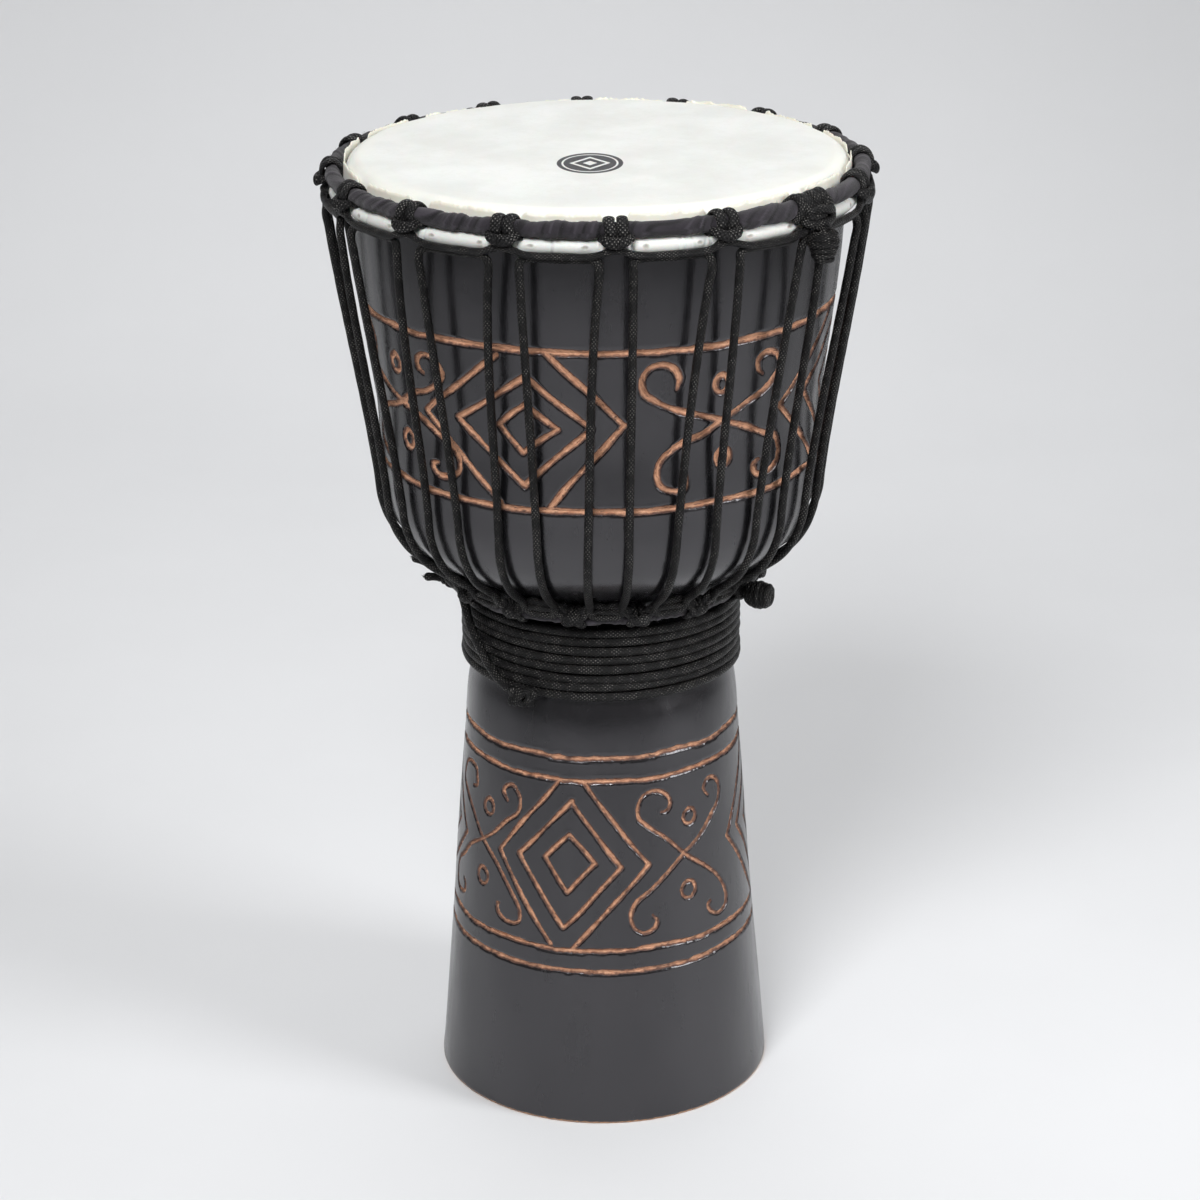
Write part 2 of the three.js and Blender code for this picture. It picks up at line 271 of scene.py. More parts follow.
def barrel_knot(pile, base, axis, coils, radius, length, rope, seed, narrow=0.0):
    """A stopper knot: the rope coiled tightly round itself, its tail curled over the end."""
    axis = unit(np.asarray(axis, float))
    first = np.cross(axis, (0.3, 0.2, 1.0) if abs(axis[2]) < 0.9 else (1.0, 0.2, 0.1))
    first = unit(first)
    second = np.cross(axis, first)
    draw = np.random.default_rng(seed)
    middle = radius - rope
    per_turn = 26
    steps = int(coils * per_turn)
    turn = np.arange(steps + 1) / per_turn
    rise = rope + (length - 2 * rope) * turn / coils
    swell = middle * (1 + 0.05 * np.sin(turn * 2.1 + draw.uniform(0, 6)))
    swell = swell * (0.9 + 0.1 * np.sin(np.pi * turn / coils))
    swell = swell * (1 - narrow * (1 - turn / coils) ** 1.6)
    angle = 2 * np.pi * turn + draw.uniform(0, 6)
    path = (
        base + axis * rise[:, None]
        + first * (swell * np.cos(angle))[:, None] + second * (swell * np.sin(angle))[:, None]
    )
    tube(pile, path, rope, sides=10, first=axis)
    core = base + axis * np.linspace(rope * 0.6, length - rope * 0.6, 9)[:, None]
    tube(pile, core, middle * (1 - narrow * np.linspace(1, 0, 9) ** 1.6), sides=14, first=first)
    for end, out in ((length, 1), (0.0, -1)):
        curl = np.linspace(0, 1.6, 34)
        reach = middle * (1 - 0.78 * curl / 1.6) * (1 if out > 0 else 1 - narrow)
        lean = angle[-1 if out > 0 else 0] + out * 2 * np.pi * curl
        path = (
            base + axis * (end - out * rope * 0.75)
            + first * (reach * np.cos(lean))[:, None] + second * (reach * np.sin(lean))[:, None]
        )
        tube(pile, path, rope * 0.92, sides=10, first=axis)


def stray_fibres(pile, base, direction, count, length, thickness, spread, seed):
    """Loose threads standing off a frayed edge or a cut rope end."""
    draw = np.random.default_rng(seed)
    for k in range(count):
        start = base[k % len(base)]
        lean = unit(direction[k % len(direction)] + draw.normal(0, spread, 3))
        bend = unit(lean + draw.normal(0, 0.6, 3))
        reach = length * draw.uniform(0.4, 1.0)
        path = np.stack([start, start + lean * reach * 0.5, start + (lean + bend) * reach * 0.5])
        tube(pile, route(path, reach / 4), thickness, sides=3)


# ---------------------------------------------------------------- material helpers

def srgb(red, green, blue):
    linear = [
        (c / 255 / 12.92) if c <= 10 else ((c / 255 + 0.055) / 1.055) ** 2.4
        for c in (red, green, blue)
    ]
    return (*linear, 1.0)


class Look:
    """A node material; every method that makes a node returns its output socket."""

    def __init__(self, name):
        self.material = bpy.data.materials.new(name)
        self.material.use_nodes = True
        self.tree = self.material.node_tree
        self.tree.nodes.clear()
        self.output = self.tree.nodes.new("ShaderNodeOutputMaterial")
        self.shader = self.tree.nodes.new("ShaderNodeBsdfPrincipled")
        self.tree.links.new(self.shader.outputs[0], self.output.inputs[0])
        places = self.tree.nodes.new("ShaderNodeTexCoord")
        self.uv = places.outputs["UV"]
        self.mm = self.scaled(places.outputs["Object"], (1000, 1000, 1000))

    def feed(self, socket, value):
        if isinstance(value, bpy.types.NodeSocket):
            self.tree.links.new(value, socket)
        else:
            socket.default_value = value

    def node(self, kind, inputs, **settings):
        made = self.tree.nodes.new(kind)
        for key, value in settings.items():
            setattr(made, key, value)
        for key, value in inputs.items():
            self.feed(made.inputs[key], value)
        return made

    def calc(self, operation, *values, clamp=False):
        inputs = dict(enumerate(values))
        return self.node("ShaderNodeMath", inputs, operation=operation, use_clamp=clamp).outputs[0]

    def add(self, *values):
        total = values[0]
        for value in values[1:]:
            total = self.calc("ADD", total, value)
        return total

    def times(self, *values):
        total = values[0]
        for value in values[1:]:
            total = self.calc("MULTIPLY", total, value)
        return total

    def swing(self, value, amount):
        """A grey value spread both ways about zero, `amount` from end to end."""
        return self.times(self.calc("SUBTRACT", value, 0.5), amount)

    def flipped(self, value):
        return self.calc("SUBTRACT", 1.0, value)

    def scaled(self, vector, factors):
        return self.node("ShaderNodeVectorMath", {0: vector, 1: factors}, operation="MULTIPLY").outputs[0]

    def split(self, vector):
        return self.node("ShaderNodeSeparateXYZ", {0: vector}).outputs

    def joined(self, x, y, z):
        return self.node("ShaderNodeCombineXYZ", {0: x, 1: y, 2: z}).outputs[0]

    def attribute(self, name):
        return self.node("ShaderNodeAttribute", {}, attribute_name=name).outputs["Fac"]

    def noise(self, vector, size, detail=3.0, rough=0.55):
        """Grey noise from 0 to 1 with features about `size` of the vector's units across."""
        made = self.node("ShaderNodeTexNoise", {"Vector": vector, "Scale": 1 / size,
                                                "Detail": detail, "Roughness": rough})
        return made.outputs[0]

    def cells(self, vector, size, feature="F1"):
        made = self.node("ShaderNodeTexVoronoi", {"Vector": vector, "Scale": 1 / size}, feature=feature)
        return made.outputs["Distance"]

    def fit(self, value, low, high, to_low=0.0, to_high=1.0):
        inputs = {"Value": value, "From Min": low, "From Max": high, "To Min": to_low, "To Max": to_high}
        return self.node("ShaderNodeMapRange", inputs, interpolation_type="SMOOTHSTEP").outputs[0]

    def mix(self, factor, a, b):
        made = self.tree.nodes.new("ShaderNodeMix")
        made.data_type = "RGBA"
        self.feed(made.inputs[0], factor)
        self.feed(made.inputs[6], a)
        self.feed(made.inputs[7], b)
        return made.outputs[2]

    def finish(self, color, roughness, height, fixed=None):
        """Height is in millimetres; the fixed values go straight on the shader's own sockets."""
        bump = self.node("ShaderNodeBump", {"Height": height, "Distance": MM, "Strength": 1.0})
        self.feed(self.shader.inputs["Base Color"], color)
        self.feed(self.shader.inputs["Roughness"], roughness)
        self.feed(self.shader.inputs["Normal"], bump.outputs[0])
        for key, value in (fixed or {}).items():
            self.shader.inputs[key].default_value = value
        return self.material


def wood_looks():
    """Satin black paint over wood, carved through to the bare wood where `cut` is below zero."""
    look = Look("painted_wood")
    z = look.split(look.mm)[2]
    cut = look.attribute("cut")
    along, side = look.attribute("along"), look.attribute("side")
    rag = look.noise(look.mm, 2.2, 4.0)
    fray = look.noise(look.mm, 0.7, 2.0)
    edge = look.add(cut, look.swing(rag, 0.9), look.swing(fray, 0.5))
    bare = look.fit(edge, -0.12, 0.12, 1.0, 0.0)

    streak_place = look.joined(look.times(side, 2.6), look.times(along, 0.16), look.times(z, 0.02))
    streak = look.noise(streak_place, 1.0, 5.0, 0.65)
    fine_place = look.joined(look.times(side, 7.0), look.times(along, 0.5), 0.0)
    fine_streak = look.noise(fine_place, 1.0, 3.0, 0.6)
    tan = look.mix(look.fit(streak, 0.3, 0.7), srgb(162, 104, 72), srgb(224, 172, 136))
    tan = look.mix(look.fit(fine_streak, 0.52, 0.78, 0.0, 0.75), tan, srgb(244, 212, 186))
    tan = look.mix(look.fit(fine_streak, 0.46, 0.25, 0.0, 0.7), tan, srgb(96, 52, 34))
    # Darker along the edges of each cut.
    cut_edge_dark = look.fit(look.add(edge, look.times(look.noise(look.mm, 4.0), 1.5)), -0.6, 0.5)
    tan = look.mix(look.times(cut_edge_dark, 0.9), tan, srgb(58, 28, 19))
    smear_place = look.joined(look.times(side, 1.2), look.times(along, 0.25), z)
    smear = look.fit(look.noise(smear_place, 1.6, 4.0, 0.6), 0.57, 0.68, 0.0, 0.85)
    tan = look.mix(smear, tan, srgb(58, 34, 28))

    grain_place = look.scaled(look.mm, (0.9, 0.9, 0.06))
    grain = look.noise(grain_place, 1.0, 5.0, 0.6)
    cloud = look.noise(look.mm, 55.0, 4.0)
    paint = look.mix(look.fit(cloud, 0.3, 0.7), srgb(15, 15, 17), srgb(24, 23, 25))
    paint = look.mix(look.fit(grain, 0.35, 0.7, 0.0, 0.35), paint, srgb(15, 14, 16))
    stain = look.fit(edge, 1.6, 0.1, 0.0, 0.4)
    paint = look.mix(stain, paint, srgb(30, 18, 15))
    dust = look.fit(look.noise(look.mm, 9.0, 6.0, 0.7), 0.62, 0.8, 0.0, 0.18)
    paint = look.mix(dust, paint, srgb(70, 68, 68))
    foot = look.fit(look.add(z, look.swing(rag, 2.4)), 0.7, 2.0, 1.0, 0.0)
    wear = look.fit(look.noise(look.mm, 1.1, 3.0, 0.7), 0.74, 0.82, 0.0, 0.7)
    low_wear = look.times(wear, look.fit(z, 2.0, 16.0, 1.0, 0.0))
    rim = look.calc("MAXIMUM", foot, low_wear)
    paint = look.mix(rim, paint, srgb(176, 132, 96))

    color = look.mix(bare, paint, tan)
    scuff = look.noise(look.scaled(look.mm, (1.0, 1.0, 0.3)), 12.0, 6.0, 0.7)
    paint_rough = look.add(look.fit(scuff, 0.3, 0.75, 0.15, 0.27), look.times(grain, 0.05))
    rough = look.add(look.times(look.flipped(bare), paint_rough),
                     look.times(bare, look.fit(streak, 0.3, 0.7, 0.92, 0.8)))
    paint_height = look.add(look.times(grain, 0.055), look.times(look.noise(look.mm, 1.4, 3.0), 0.03),
                            look.times(look.noise(look.mm, 14.0, 3.0), 0.10))
    wood_height = look.add(look.times(fine_streak, 0.16), look.times(streak, 0.22))
    height = look.add(look.times(look.flipped(bare), paint_height),
                      look.times(bare, wood_height), look.times(bare, -0.08))
    gloss = {"Specular IOR Level": 0.9, "Specular Tint": (0.97, 0.95, 1.0, 1.0)}
    painted = look.finish(color, rough, height, gloss)

    look = Look("bare_wood")
    place = look.scaled(look.mm, (0.5, 0.5, 0.035))
    grain = look.noise(place, 1.0, 6.0, 0.62)
    pores = look.noise(look.scaled(look.mm, (2.2, 2.2, 0.12)), 1.0, 3.0, 0.6)
    cloud = look.noise(look.mm, 40.0, 4.0)
    color = look.mix(look.fit(grain, 0.3, 0.7), srgb(124, 72, 46), srgb(178, 120, 80))
    color = look.mix(look.fit(pores, 0.56, 0.72, 0.0, 0.6), color, srgb(84, 46, 30))
    color = look.mix(look.fit(cloud, 0.45, 0.75, 0.0, 0.5), color, srgb(98, 56, 38))
    gouge = look.noise(look.scaled(look.mm, (1.0, 1.0, 0.25)), 7.0, 2.0)
    height = look.add(look.times(grain, 0.16), look.times(pores, 0.1), look.times(gouge, 0.5))
    bare_wood = look.finish(color, look.fit(grain, 0.3, 0.7, 0.62, 0.8), height)
    return painted, bare_wood


def skin_look():
    """Shaved goat skin: white, creamy towards the rim, stained at the punctures and the cut edge."""
    look = Look("goat_skin")
    x, y, z = look.split(look.mm)
    radius = look.calc("SQRT", look.add(look.times(x, x), look.times(y, y)))
    cloud = look.noise(look.mm, 45.0, 5.0, 0.6)
    pores = look.cells(look.mm, 1.5)
    follicle = look.fit(pores, 0.14, 0.30, 1.0, 0.0)
    follicle = look.times(follicle, look.fit(look.noise(look.mm, 20.0, 3.0), 0.42, 0.65, 0.0, 1.0))
    veins = look.noise(look.mm, 18.0, 7.0, 0.62)
    vein = look.fit(look.calc("ABSOLUTE", look.calc("SUBTRACT", veins, 0.5)), 0.0, 0.03, 1.0, 0.0)
    color = look.mix(look.fit(cloud, 0.3, 0.7), srgb(224, 223, 219), srgb(235, 234, 231))
    color = look.mix(look.times(vein, 0.10), color, srgb(206, 203, 190))
    color = look.mix(look.times(follicle, 0.16), color, srgb(196, 190, 176))
    rim = look.times(look.fit(radius, 128.0, 152.0), look.fit(z, 600.0, 606.0))
    rim = look.times(rim, look.fit(cloud, 0.2, 0.8, 0.35, 0.8))
    color = look.mix(rim, color, srgb(232, 230, 221))
    trim = look.attribute("trim")
    ragged = look.noise(look.mm, 2.5, 4.0)
    color = look.mix(look.times(trim, look.fit(ragged, 0.3, 0.7, 0.5, 1.0)), color, srgb(230, 227, 212))
    mark = look.attribute("puncture")
    stain = look.fit(look.add(mark, look.swing(ragged, 0.35)), 0.25, 0.85)
    color = look.mix(look.times(stain, 0.7), color, srgb(150, 143, 134))
    pit = look.fit(look.add(mark, look.swing(ragged, 0.8)), 0.9, 1.15)
    color = look.mix(look.times(pit, 0.8), color, srgb(70, 64, 58))
    grime = look.fit(look.noise(look.scaled(look.mm, (1.0, 1.0, 0.35)), 6.0, 5.0, 0.65), 0.56, 0.78, 0.0, 0.2)
    grime = look.times(grime, look.fit(z, 603.0, 597.0))
    color = look.mix(grime, color, srgb(184, 176, 160))

    # Printed emblem: an oval ring round a diamond, worn where hands have rubbed it
    dx = look.calc("DIVIDE", look.calc("SUBTRACT", x, EMBLEM[0]), EMBLEM[2])
    dy = look.calc("DIVIDE", look.calc("SUBTRACT", y, EMBLEM[1]), EMBLEM[3])
    around = look.calc("SQRT", look.add(look.times(dx, dx), look.times(dy, dy)))
    across = look.add(look.calc("ABSOLUTE", dx), look.calc("ABSOLUTE", dy))
    disc = look.fit(around, 0.98, 1.0, 1.0, 0.0)
    gap = look.times(look.fit(around, 0.84, 0.86, 1.0, 0.0), look.fit(around, 0.78, 0.80))
    inner = look.times(look.fit(across, 0.60, 0.63, 1.0, 0.0), look.fit(across, 0.46, 0.49))
    heart = look.fit(across, 0.20, 0.23, 1.0, 0.0)
    blank = look.calc("MAXIMUM", gap, look.calc("MAXIMUM", inner, heart))
    ink = look.calc("SUBTRACT", disc, blank, clamp=True)
    worn = look.fit(look.noise(look.mm, 1.6, 6.0, 0.75), 0.68, 0.76, 1.0, 0.35)
    top = look.fit(z, 609.0, 609.6)
    ink = look.times(ink, worn, top)
    color = look.mix(ink, color, srgb(40, 40, 43))

    rough = look.add(look.fit(cloud, 0.3, 0.7, 0.48, 0.60), look.times(ink, -0.08))
    height = look.add(look.times(veins, 0.05), look.times(follicle, -0.03),
                      look.times(look.noise(look.mm, 0.9, 3.0), 0.03),
                      look.times(look.noise(look.mm, 9.0, 4.0), 0.12))
    fixed = {"Subsurface Weight": 0.12, "Subsurface Scale": 0.004, "Sheen Weight": 0.05}
    return look.finish(color, rough, height, fixed)


def cloth_look():
    """Torn strips of black cotton, wound on the slant, with painted highlights and painted shade at the
    folds.
    """
    look = Look("ring_cloth")
    u, v, _ = look.split(look.uv)
    weft = look.calc("SINE", look.times(look.add(look.times(u, 34.0), look.times(v, 1.1)), 6.2832))
    warp = look.calc("SINE", look.times(look.add(look.times(u, -20.0), look.times(v, 1.6)), 6.2832))
    weave = look.times(look.add(weft, warp), 0.25)
    painted_fold_shading = look.attribute("painted_fold_shading")
    fuzz = look.noise(look.mm, 0.6, 4.0, 0.7)
    cloud = look.noise(look.mm, 10.0, 5.0, 0.6)
    color = look.mix(look.fit(cloud, 0.3, 0.7), srgb(34, 31, 36), srgb(46, 42, 48))
    # Painted highlight where the fold value is high, painted shade in the creases where it is low.
    color = look.mix(look.fit(painted_fold_shading, 0.55, 1.0, 0.0, 0.6), color, srgb(72, 67, 75))
    color = look.mix(look.fit(painted_fold_shading, 0.36, 0.04, 0.0, 0.85), color, srgb(14, 12, 15))
    color = look.mix(look.fit(fuzz, 0.60, 0.82, 0.0, 0.35), color, srgb(88, 84, 90))
    height = look.add(look.times(weave, 0.10), look.times(fuzz, 0.18), look.times(cloud, 0.4))
    fixed = {"Sheen Weight": 0.15, "Sheen Roughness": 0.6, "Specular IOR Level": 0.2}
    return look.finish(color, look.fit(fuzz, 0.3, 0.7, 0.82, 0.96), height, fixed)


def rope_look(name, plaits, pitch, dark, ridge_highlight, painted_gleam):
    """Braided black polyester with painted light on its plaits: plaits round the rope and their pitch along
    it in millimetres.
    """
    look = Look(name)
    u, v, _ = look.split(look.uv)
    turn = look.times(u, float(plaits))
    climb = look.calc("DIVIDE", v, pitch)
    drift = look.swing(look.noise(look.mm, 3.0, 2.0), 0.35)
    rising = look.calc("SINE", look.times(look.add(turn, climb, drift), math.pi))
    falling = look.calc("SINE", look.times(look.calc("SUBTRACT", turn, look.add(climb, drift)), math.pi))
    plait = look.calc("ABSOLUTE", look.times(rising, falling))
    plait = look.calc("POWER", plait, 0.6)
    yarn = look.calc("SINE", look.times(look.add(look.times(turn, 4.0), look.times(climb, 4.0)), 2 * math.pi))
    fuzz = look.noise(look.mm, 0.5, 3.0, 0.7)
    cloud = look.noise(look.mm, 16.0, 5.0, 0.65)
    # Painted light and shade on the braid: plait ridges lit up towards the highlight colour, valleys kept
    # dark.
    color = look.mix(look.fit(plait, 0.35, 1.0), dark, ridge_highlight)
    color = look.mix(look.fit(cloud, 0.4, 0.75, 0.0, 0.45), color, dark)
    # Painted highlights: bright glint dots on the tops of the plaits, in patches.
    patch = look.fit(look.noise(look.mm, 5.0, 2.0), 0.42, 0.62)
    painted_glint = look.times(look.fit(plait, 0.84, 0.99), patch, painted_gleam)
    color = look.mix(painted_glint, color, srgb(168, 165, 160))
    # Painted sheen: the fuzz lightened to grey, at half the glint strength.
    color = look.mix(look.fit(fuzz, 0.62, 0.85, 0.0, painted_gleam * 0.5), color, srgb(120, 118, 116))
    rough = look.add(look.fit(cloud, 0.3, 0.7, 0.36, 0.50), look.times(plait, -0.06))
    height = look.add(look.times(plait, 0.42), look.times(yarn, 0.02), look.times(fuzz, 0.08))
    return look.finish(color, rough, height, {"Specular IOR Level": 0.2})


def steel_look():
    look = Look("ring_steel")
    rust = look.fit(look.noise(look.mm, 6.0, 6.0, 0.7), 0.52, 0.7, 0.0, 0.7)
    drawn = look.noise(look.scaled(look.mm, (1.0, 1.0, 6.0)), 2.0, 3.0)
    color = look.mix(rust, srgb(150, 152, 156), srgb(96, 62, 44))
    rough = look.add(look.fit(drawn, 0.3, 0.7, 0.30, 0.42), look.times(rust, 0.3))
    return look.finish(color, rough, look.times(rust, 0.08), {"Metallic": 0.9})


def floor_look():
    look = Look("studio_floor")
    cloud = look.noise(look.mm, 260.0, 3.0)
    color = look.mix(cloud, srgb(222, 223, 225), srgb(228, 229, 231))
    return look.finish(color, look.fit(cloud, 0.3, 0.7, 0.62, 0.7), look.times(cloud, 0.01))


# Centre and half sizes of the print on the head
EMBLEM = (-4.5, -35.5, 20.0, 27.0)

PAINTED_WOOD, BARE_WOOD = wood_looks()
GOAT_SKIN = skin_look()
CLOTH = cloth_look()
# Each rope's last two arguments are its painted ridge highlight colour and the strength of its painted glints
# and sheen.
LACING = rope_look("black_rope", 8, 2.7, srgb(6, 6, 7), srgb(26, 25, 25), 0.5)
LOOP = rope_look("black_loop_rope", 7, 2.3, srgb(8, 8, 9), srgb(33, 32, 33), 0.55)
STEEL = steel_look()
for node_name in ("flesh_ring", "crown_ring", "waist_ring"):
    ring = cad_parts[node_name]
    ring.data.materials.clear()
    ring.data.materials.append(STEEL)


# ---------------------------------------------------------------- shell

BEARING_ROUND = 8.0
BEARING_TOP = HEAD_TOP - SKIN - CLEARANCE
BEARING_RADIUS = HEAD_RADIUS - SKIN - CLEARANCE
BEARING_CENTRE = (BEARING_RADIUS - BEARING_ROUND, BEARING_TOP - BEARING_ROUND)
OUTSIDE = [
    (107.6, 1.4), (98.4, 106), (88.2, 234), (84.9, 271), (82.3, 284), (82, 300), (82, 331), (84.2, 338.5),
    (87.2, 345.5), (91, 350.3), (97, 354), (110, 361.8), (117.5, 367.8), (124.8, 376.2), (131.2, 390),
    (135.6, 418), (138, 460), (142.8, 500), (148.6, 552), (151.1, 600.9),
]
INSIDE = [
    (137.5, 605.9), (134.5, 592), (128.5, 500), (121.5, 420), (110, 384), (74, 350), (66, 318), (67, 270),
    (86, 0.4),
]
BAND_DEPTH = 1.9
NECK_TOP = 331.0

# Carved lines run round the shell at these heights; the motifs sit between the inner ones
BOWL_LINES = (524.3, 424.8)
STEM_LINES = (246.2, 231.2, 118.2, 104.1)

# Motif strokes in millimetres round the shell (u) and height (z), at the middle of each band
BOWL_DIAMOND = [
    ([(-14.4, 520), (-70.9, 475.7), (-17.4, 427.4)], False),
    ([(15.4, 523), (59.8, 479), (14.4, 427)], False),
    ([(2.3, 509), (-44.3, 476.9), (-1.3, 439.4), (40, 476.8)], True),
    ([(1.3, 491), (-15.9, 476.8), (-1.7, 460.5), (20.8, 476.3)], True),
]
BOWL_SCROLL = [
    [(-28.4, 499.7), (-26.9, 505.7), (-29.9, 512.3), (-37.3, 515.8), (-44.7, 514.1), (-49, 506.7),
     (-47.5, 499), (-41.1, 493.7), (-31.6, 488), (-20, 483.3), (-6.7, 478.9), (5.4, 474.5), (19.7, 469.3),
     (37.4, 460.6), (48.1, 456), (51.1, 449.5), (50.9, 441.7), (43.7, 435.8), (31, 436.8), (28.7, 442.2),
     (33.2, 445.1)],
    [(30.4, 500), (26.8, 503.6), (26.1, 509.5), (31.2, 512.7), (39.8, 511.3), (46, 503), (39.8, 494),
     (32, 489), (20.2, 484.7), (9.4, 479.1), (-1, 474.1), (-11.1, 468.9), (-21, 466.4), (-30.5, 460.8),
     (-37.1, 454.7), (-39.3, 446.3), (-36.9, 439.4), (-30, 435.8), (-22.1, 435.8), (-21.3, 447.2)],
]
BOWL_RINGS = [(0.4, 499.5, 4.6, 5.4), (5, 452, 5.2, 5.6)]
STEM_DIAMOND = [
    ([(-8.2, 230), (-51.1, 175.9), (-11.7, 120.8)], False),
    ([(9.2, 230), (50.3, 174.2), (1.6, 118.8)], False),
    ([(0.5, 218), (-35.3, 177.5), (-3.8, 133.3), (32.2, 174.3)], True),
    ([(-0.8, 195.3), (-16.5, 178.7), (-1.7, 156.7), (15.9, 176.6)], True),
]
STEM_SCROLL = [
    [(-15.9, 207.7), (-12, 208), (-9.5, 213.6), (-13.2, 219.4), (-20.7, 222.2), (-28.2, 219.8),
     (-31.4, 214.1), (-31.1, 206), (-25.7, 200.2), (-13.3, 189.9), (-0.3, 177.2), (17.9, 161.9),
     (30.4, 147.9), (34.6, 138.8), (33.8, 131.7), (26.9, 128), (18.5, 132.3), (16.8, 137.1), (19, 138.9)],
    [(-23.9, 139.9), (-21, 135.8), (-22.1, 131.9), (-29.6, 128.4), (-35.7, 132.8), (-37.5, 140.2),
     (-34, 149.1), (-24.9, 156.1), (-14.3, 165.5), (-0.3, 177.2), (11.4, 184.8), (23.6, 195.4),
     (32.8, 204.7), (33.9, 214.7), (27.6, 220.5), (21.2, 220), (18.5, 215.6), (22.5, 209.7)],
]
STEM_RINGS = [(4.7, 200.6, 5.0, 5.2), (1.9, 152.2, 5.2, 5.8)]

# Each band: reference radius, line half width, curl half width, diamonds at, scrolls at
BOWL_BAND = (141.0, 2.1, 2.2, (-18.3, 79.3, 172.0, -106.0), (30.0, 127.0, -145.0, -58.5))
STEM_BAND = (93.0, 1.65, 1.45, (-12.8, 89.0, 172.0, -100.0), (33.8, 131.0, -145.0, -55.3))


def carved_strokes(diamond, scroll, rings, band):
    """Every carved stroke: its azimuth, its points (mm round the shell, height) and half widths."""
    radius, line_half, curl_half, diamonds, scrolls = band
    draw = np.random.default_rng(int(radius))
    strokes = []

    def put(points, half, azimuth, ends_taper):
        path = route(points, 0.8)
        s = lengths(path)
        width = half * (1 + 0.13 * wobble(s * 0.03, draw.integers(1000), 4, 3, 9))
        if ends_taper:
            rest = np.minimum(s, s[-1] - s)
            width = width * (0.62 + 0.38 * smoothstep(rest, 0, 7))
        hand = 0.35 * wobble(s * 0.02, draw.integers(1000), 3, 2, 7)
        lean = unit(np.gradient(path, axis=0))
        path = path + np.stack([-lean[:, 1], lean[:, 0]], axis=-1) * hand[:, None]
        strokes.append((azimuth, path, width))

    def straight(corners, is_closed, slip):
        """The straight cuts of a diamond, one stroke to a side, each overshooting its corner a little."""
        corners = [np.array(c) + slip for c in corners]
        last = len(corners) if is_closed else len(corners) - 1
        for k in range(last):
            a, b = corners[k], corners[(k + 1) % len(corners)]
            bow = (b - a)[::-1] * (1, -1) * draw.normal(0, 0.008)
            yield [a, (a + b) / 2 + bow, b]

    for number, azimuth in enumerate(diamonds):
        for corners, is_closed in diamond:
            slip = draw.normal(0, 1.2, 2) * (number > 0)
            for side_points in straight(corners, is_closed, slip):
                put(side_points, line_half, azimuth, False)
    for number, azimuth in enumerate(scrolls):
        for points in scroll:
            slip = draw.normal(0, 1.0, 2) * (number > 0)
            loose = draw.normal(0, 0.7, (len(points), 2)) * (number > 0)
            put(np.array(points) + slip + loose, curl_half, azimuth, True)
        for u, z, half_u, half_z in rings:
            turn = np.linspace(0, 2 * np.pi, 17)
            ring_points = np.stack([u + half_u * np.sin(turn), z + half_z * np.cos(turn)], axis=-1)
            put(ring_points, curl_half * 0.95, azimuth, False)
    return strokes


def outside_rows():
    body = route(OUTSIDE, 0.5)
    turn = np.radians(np.linspace(4, 90, 20))
    over = np.stack([BEARING_CENTRE[0] + BEARING_ROUND * np.cos(turn),
                     BEARING_CENTRE[1] + BEARING_ROUND * np.sin(turn)], axis=-1)
    return np.concatenate([body, over])


def line_half(line):
    """Half width of the carved line at this height; the stem's are the finer."""
    return 2.25 if line > NECK_TOP else 1.7


def cut_distance(azimuth, height, radius, strokes, lines):
    """Signed distance (negative inside a cut), distance along the cut and across it, per vertex."""
    cut = np.full(azimuth.shape, 9.0)
    along = np.zeros(azimuth.shape)
    side = np.zeros(azimuth.shape)
    for number, line in enumerate(lines):
        wave = np.radians(azimuth)
        centre = line + 0.5 * wobble(wave, int(line), 6, 2, 14)
        centre = centre + 0.18 * wobble(wave, int(line) + 1, 5, 20, 60)
        half = line_half(line) * (1 + 0.13 * wobble(wave, int(line) + 2, 6, 5, 50))
        across = height - centre
        away = np.abs(across) - half
        closer = away < cut
        cut[closer], side[closer] = away[closer], across[closer]
        along[closer] = (wave * radius)[closer] + 1000 * number
    for number, (centre_azimuth, path, width) in enumerate(strokes):
        u = (np.mod(azimuth - centre_azimuth + 180, 360) - 180) * math.pi / 180 * radius
        low, high = path.min(0) - 6, path.max(0) + 6
        near = (u > low[0]) & (u < high[0]) & (height > low[1]) & (height < high[1])
        if not near.any():
            continue
        place = np.stack([u[near], height[near]], axis=-1)
        offset = place[:, None] - path[None]
        reach = np.sqrt((offset**2).sum(-1))
        nearest = (reach - width).argmin(1)
        pick = np.arange(len(place))
        away = reach[pick, nearest] - width[nearest]
        lean = unit(np.gradient(path, axis=0))[nearest]
        gap = offset[pick, nearest]
        across = lean[:, 0] * gap[:, 1] - lean[:, 1] * gap[:, 0]
        closer = away < cut[near]
        index = np.flatnonzero(near)[closer]
        cut[index] = away[closer]
        side[index] = across[closer]
        along[index] = lengths(path)[nearest][closer] + 300 * number
    return cut, along, side


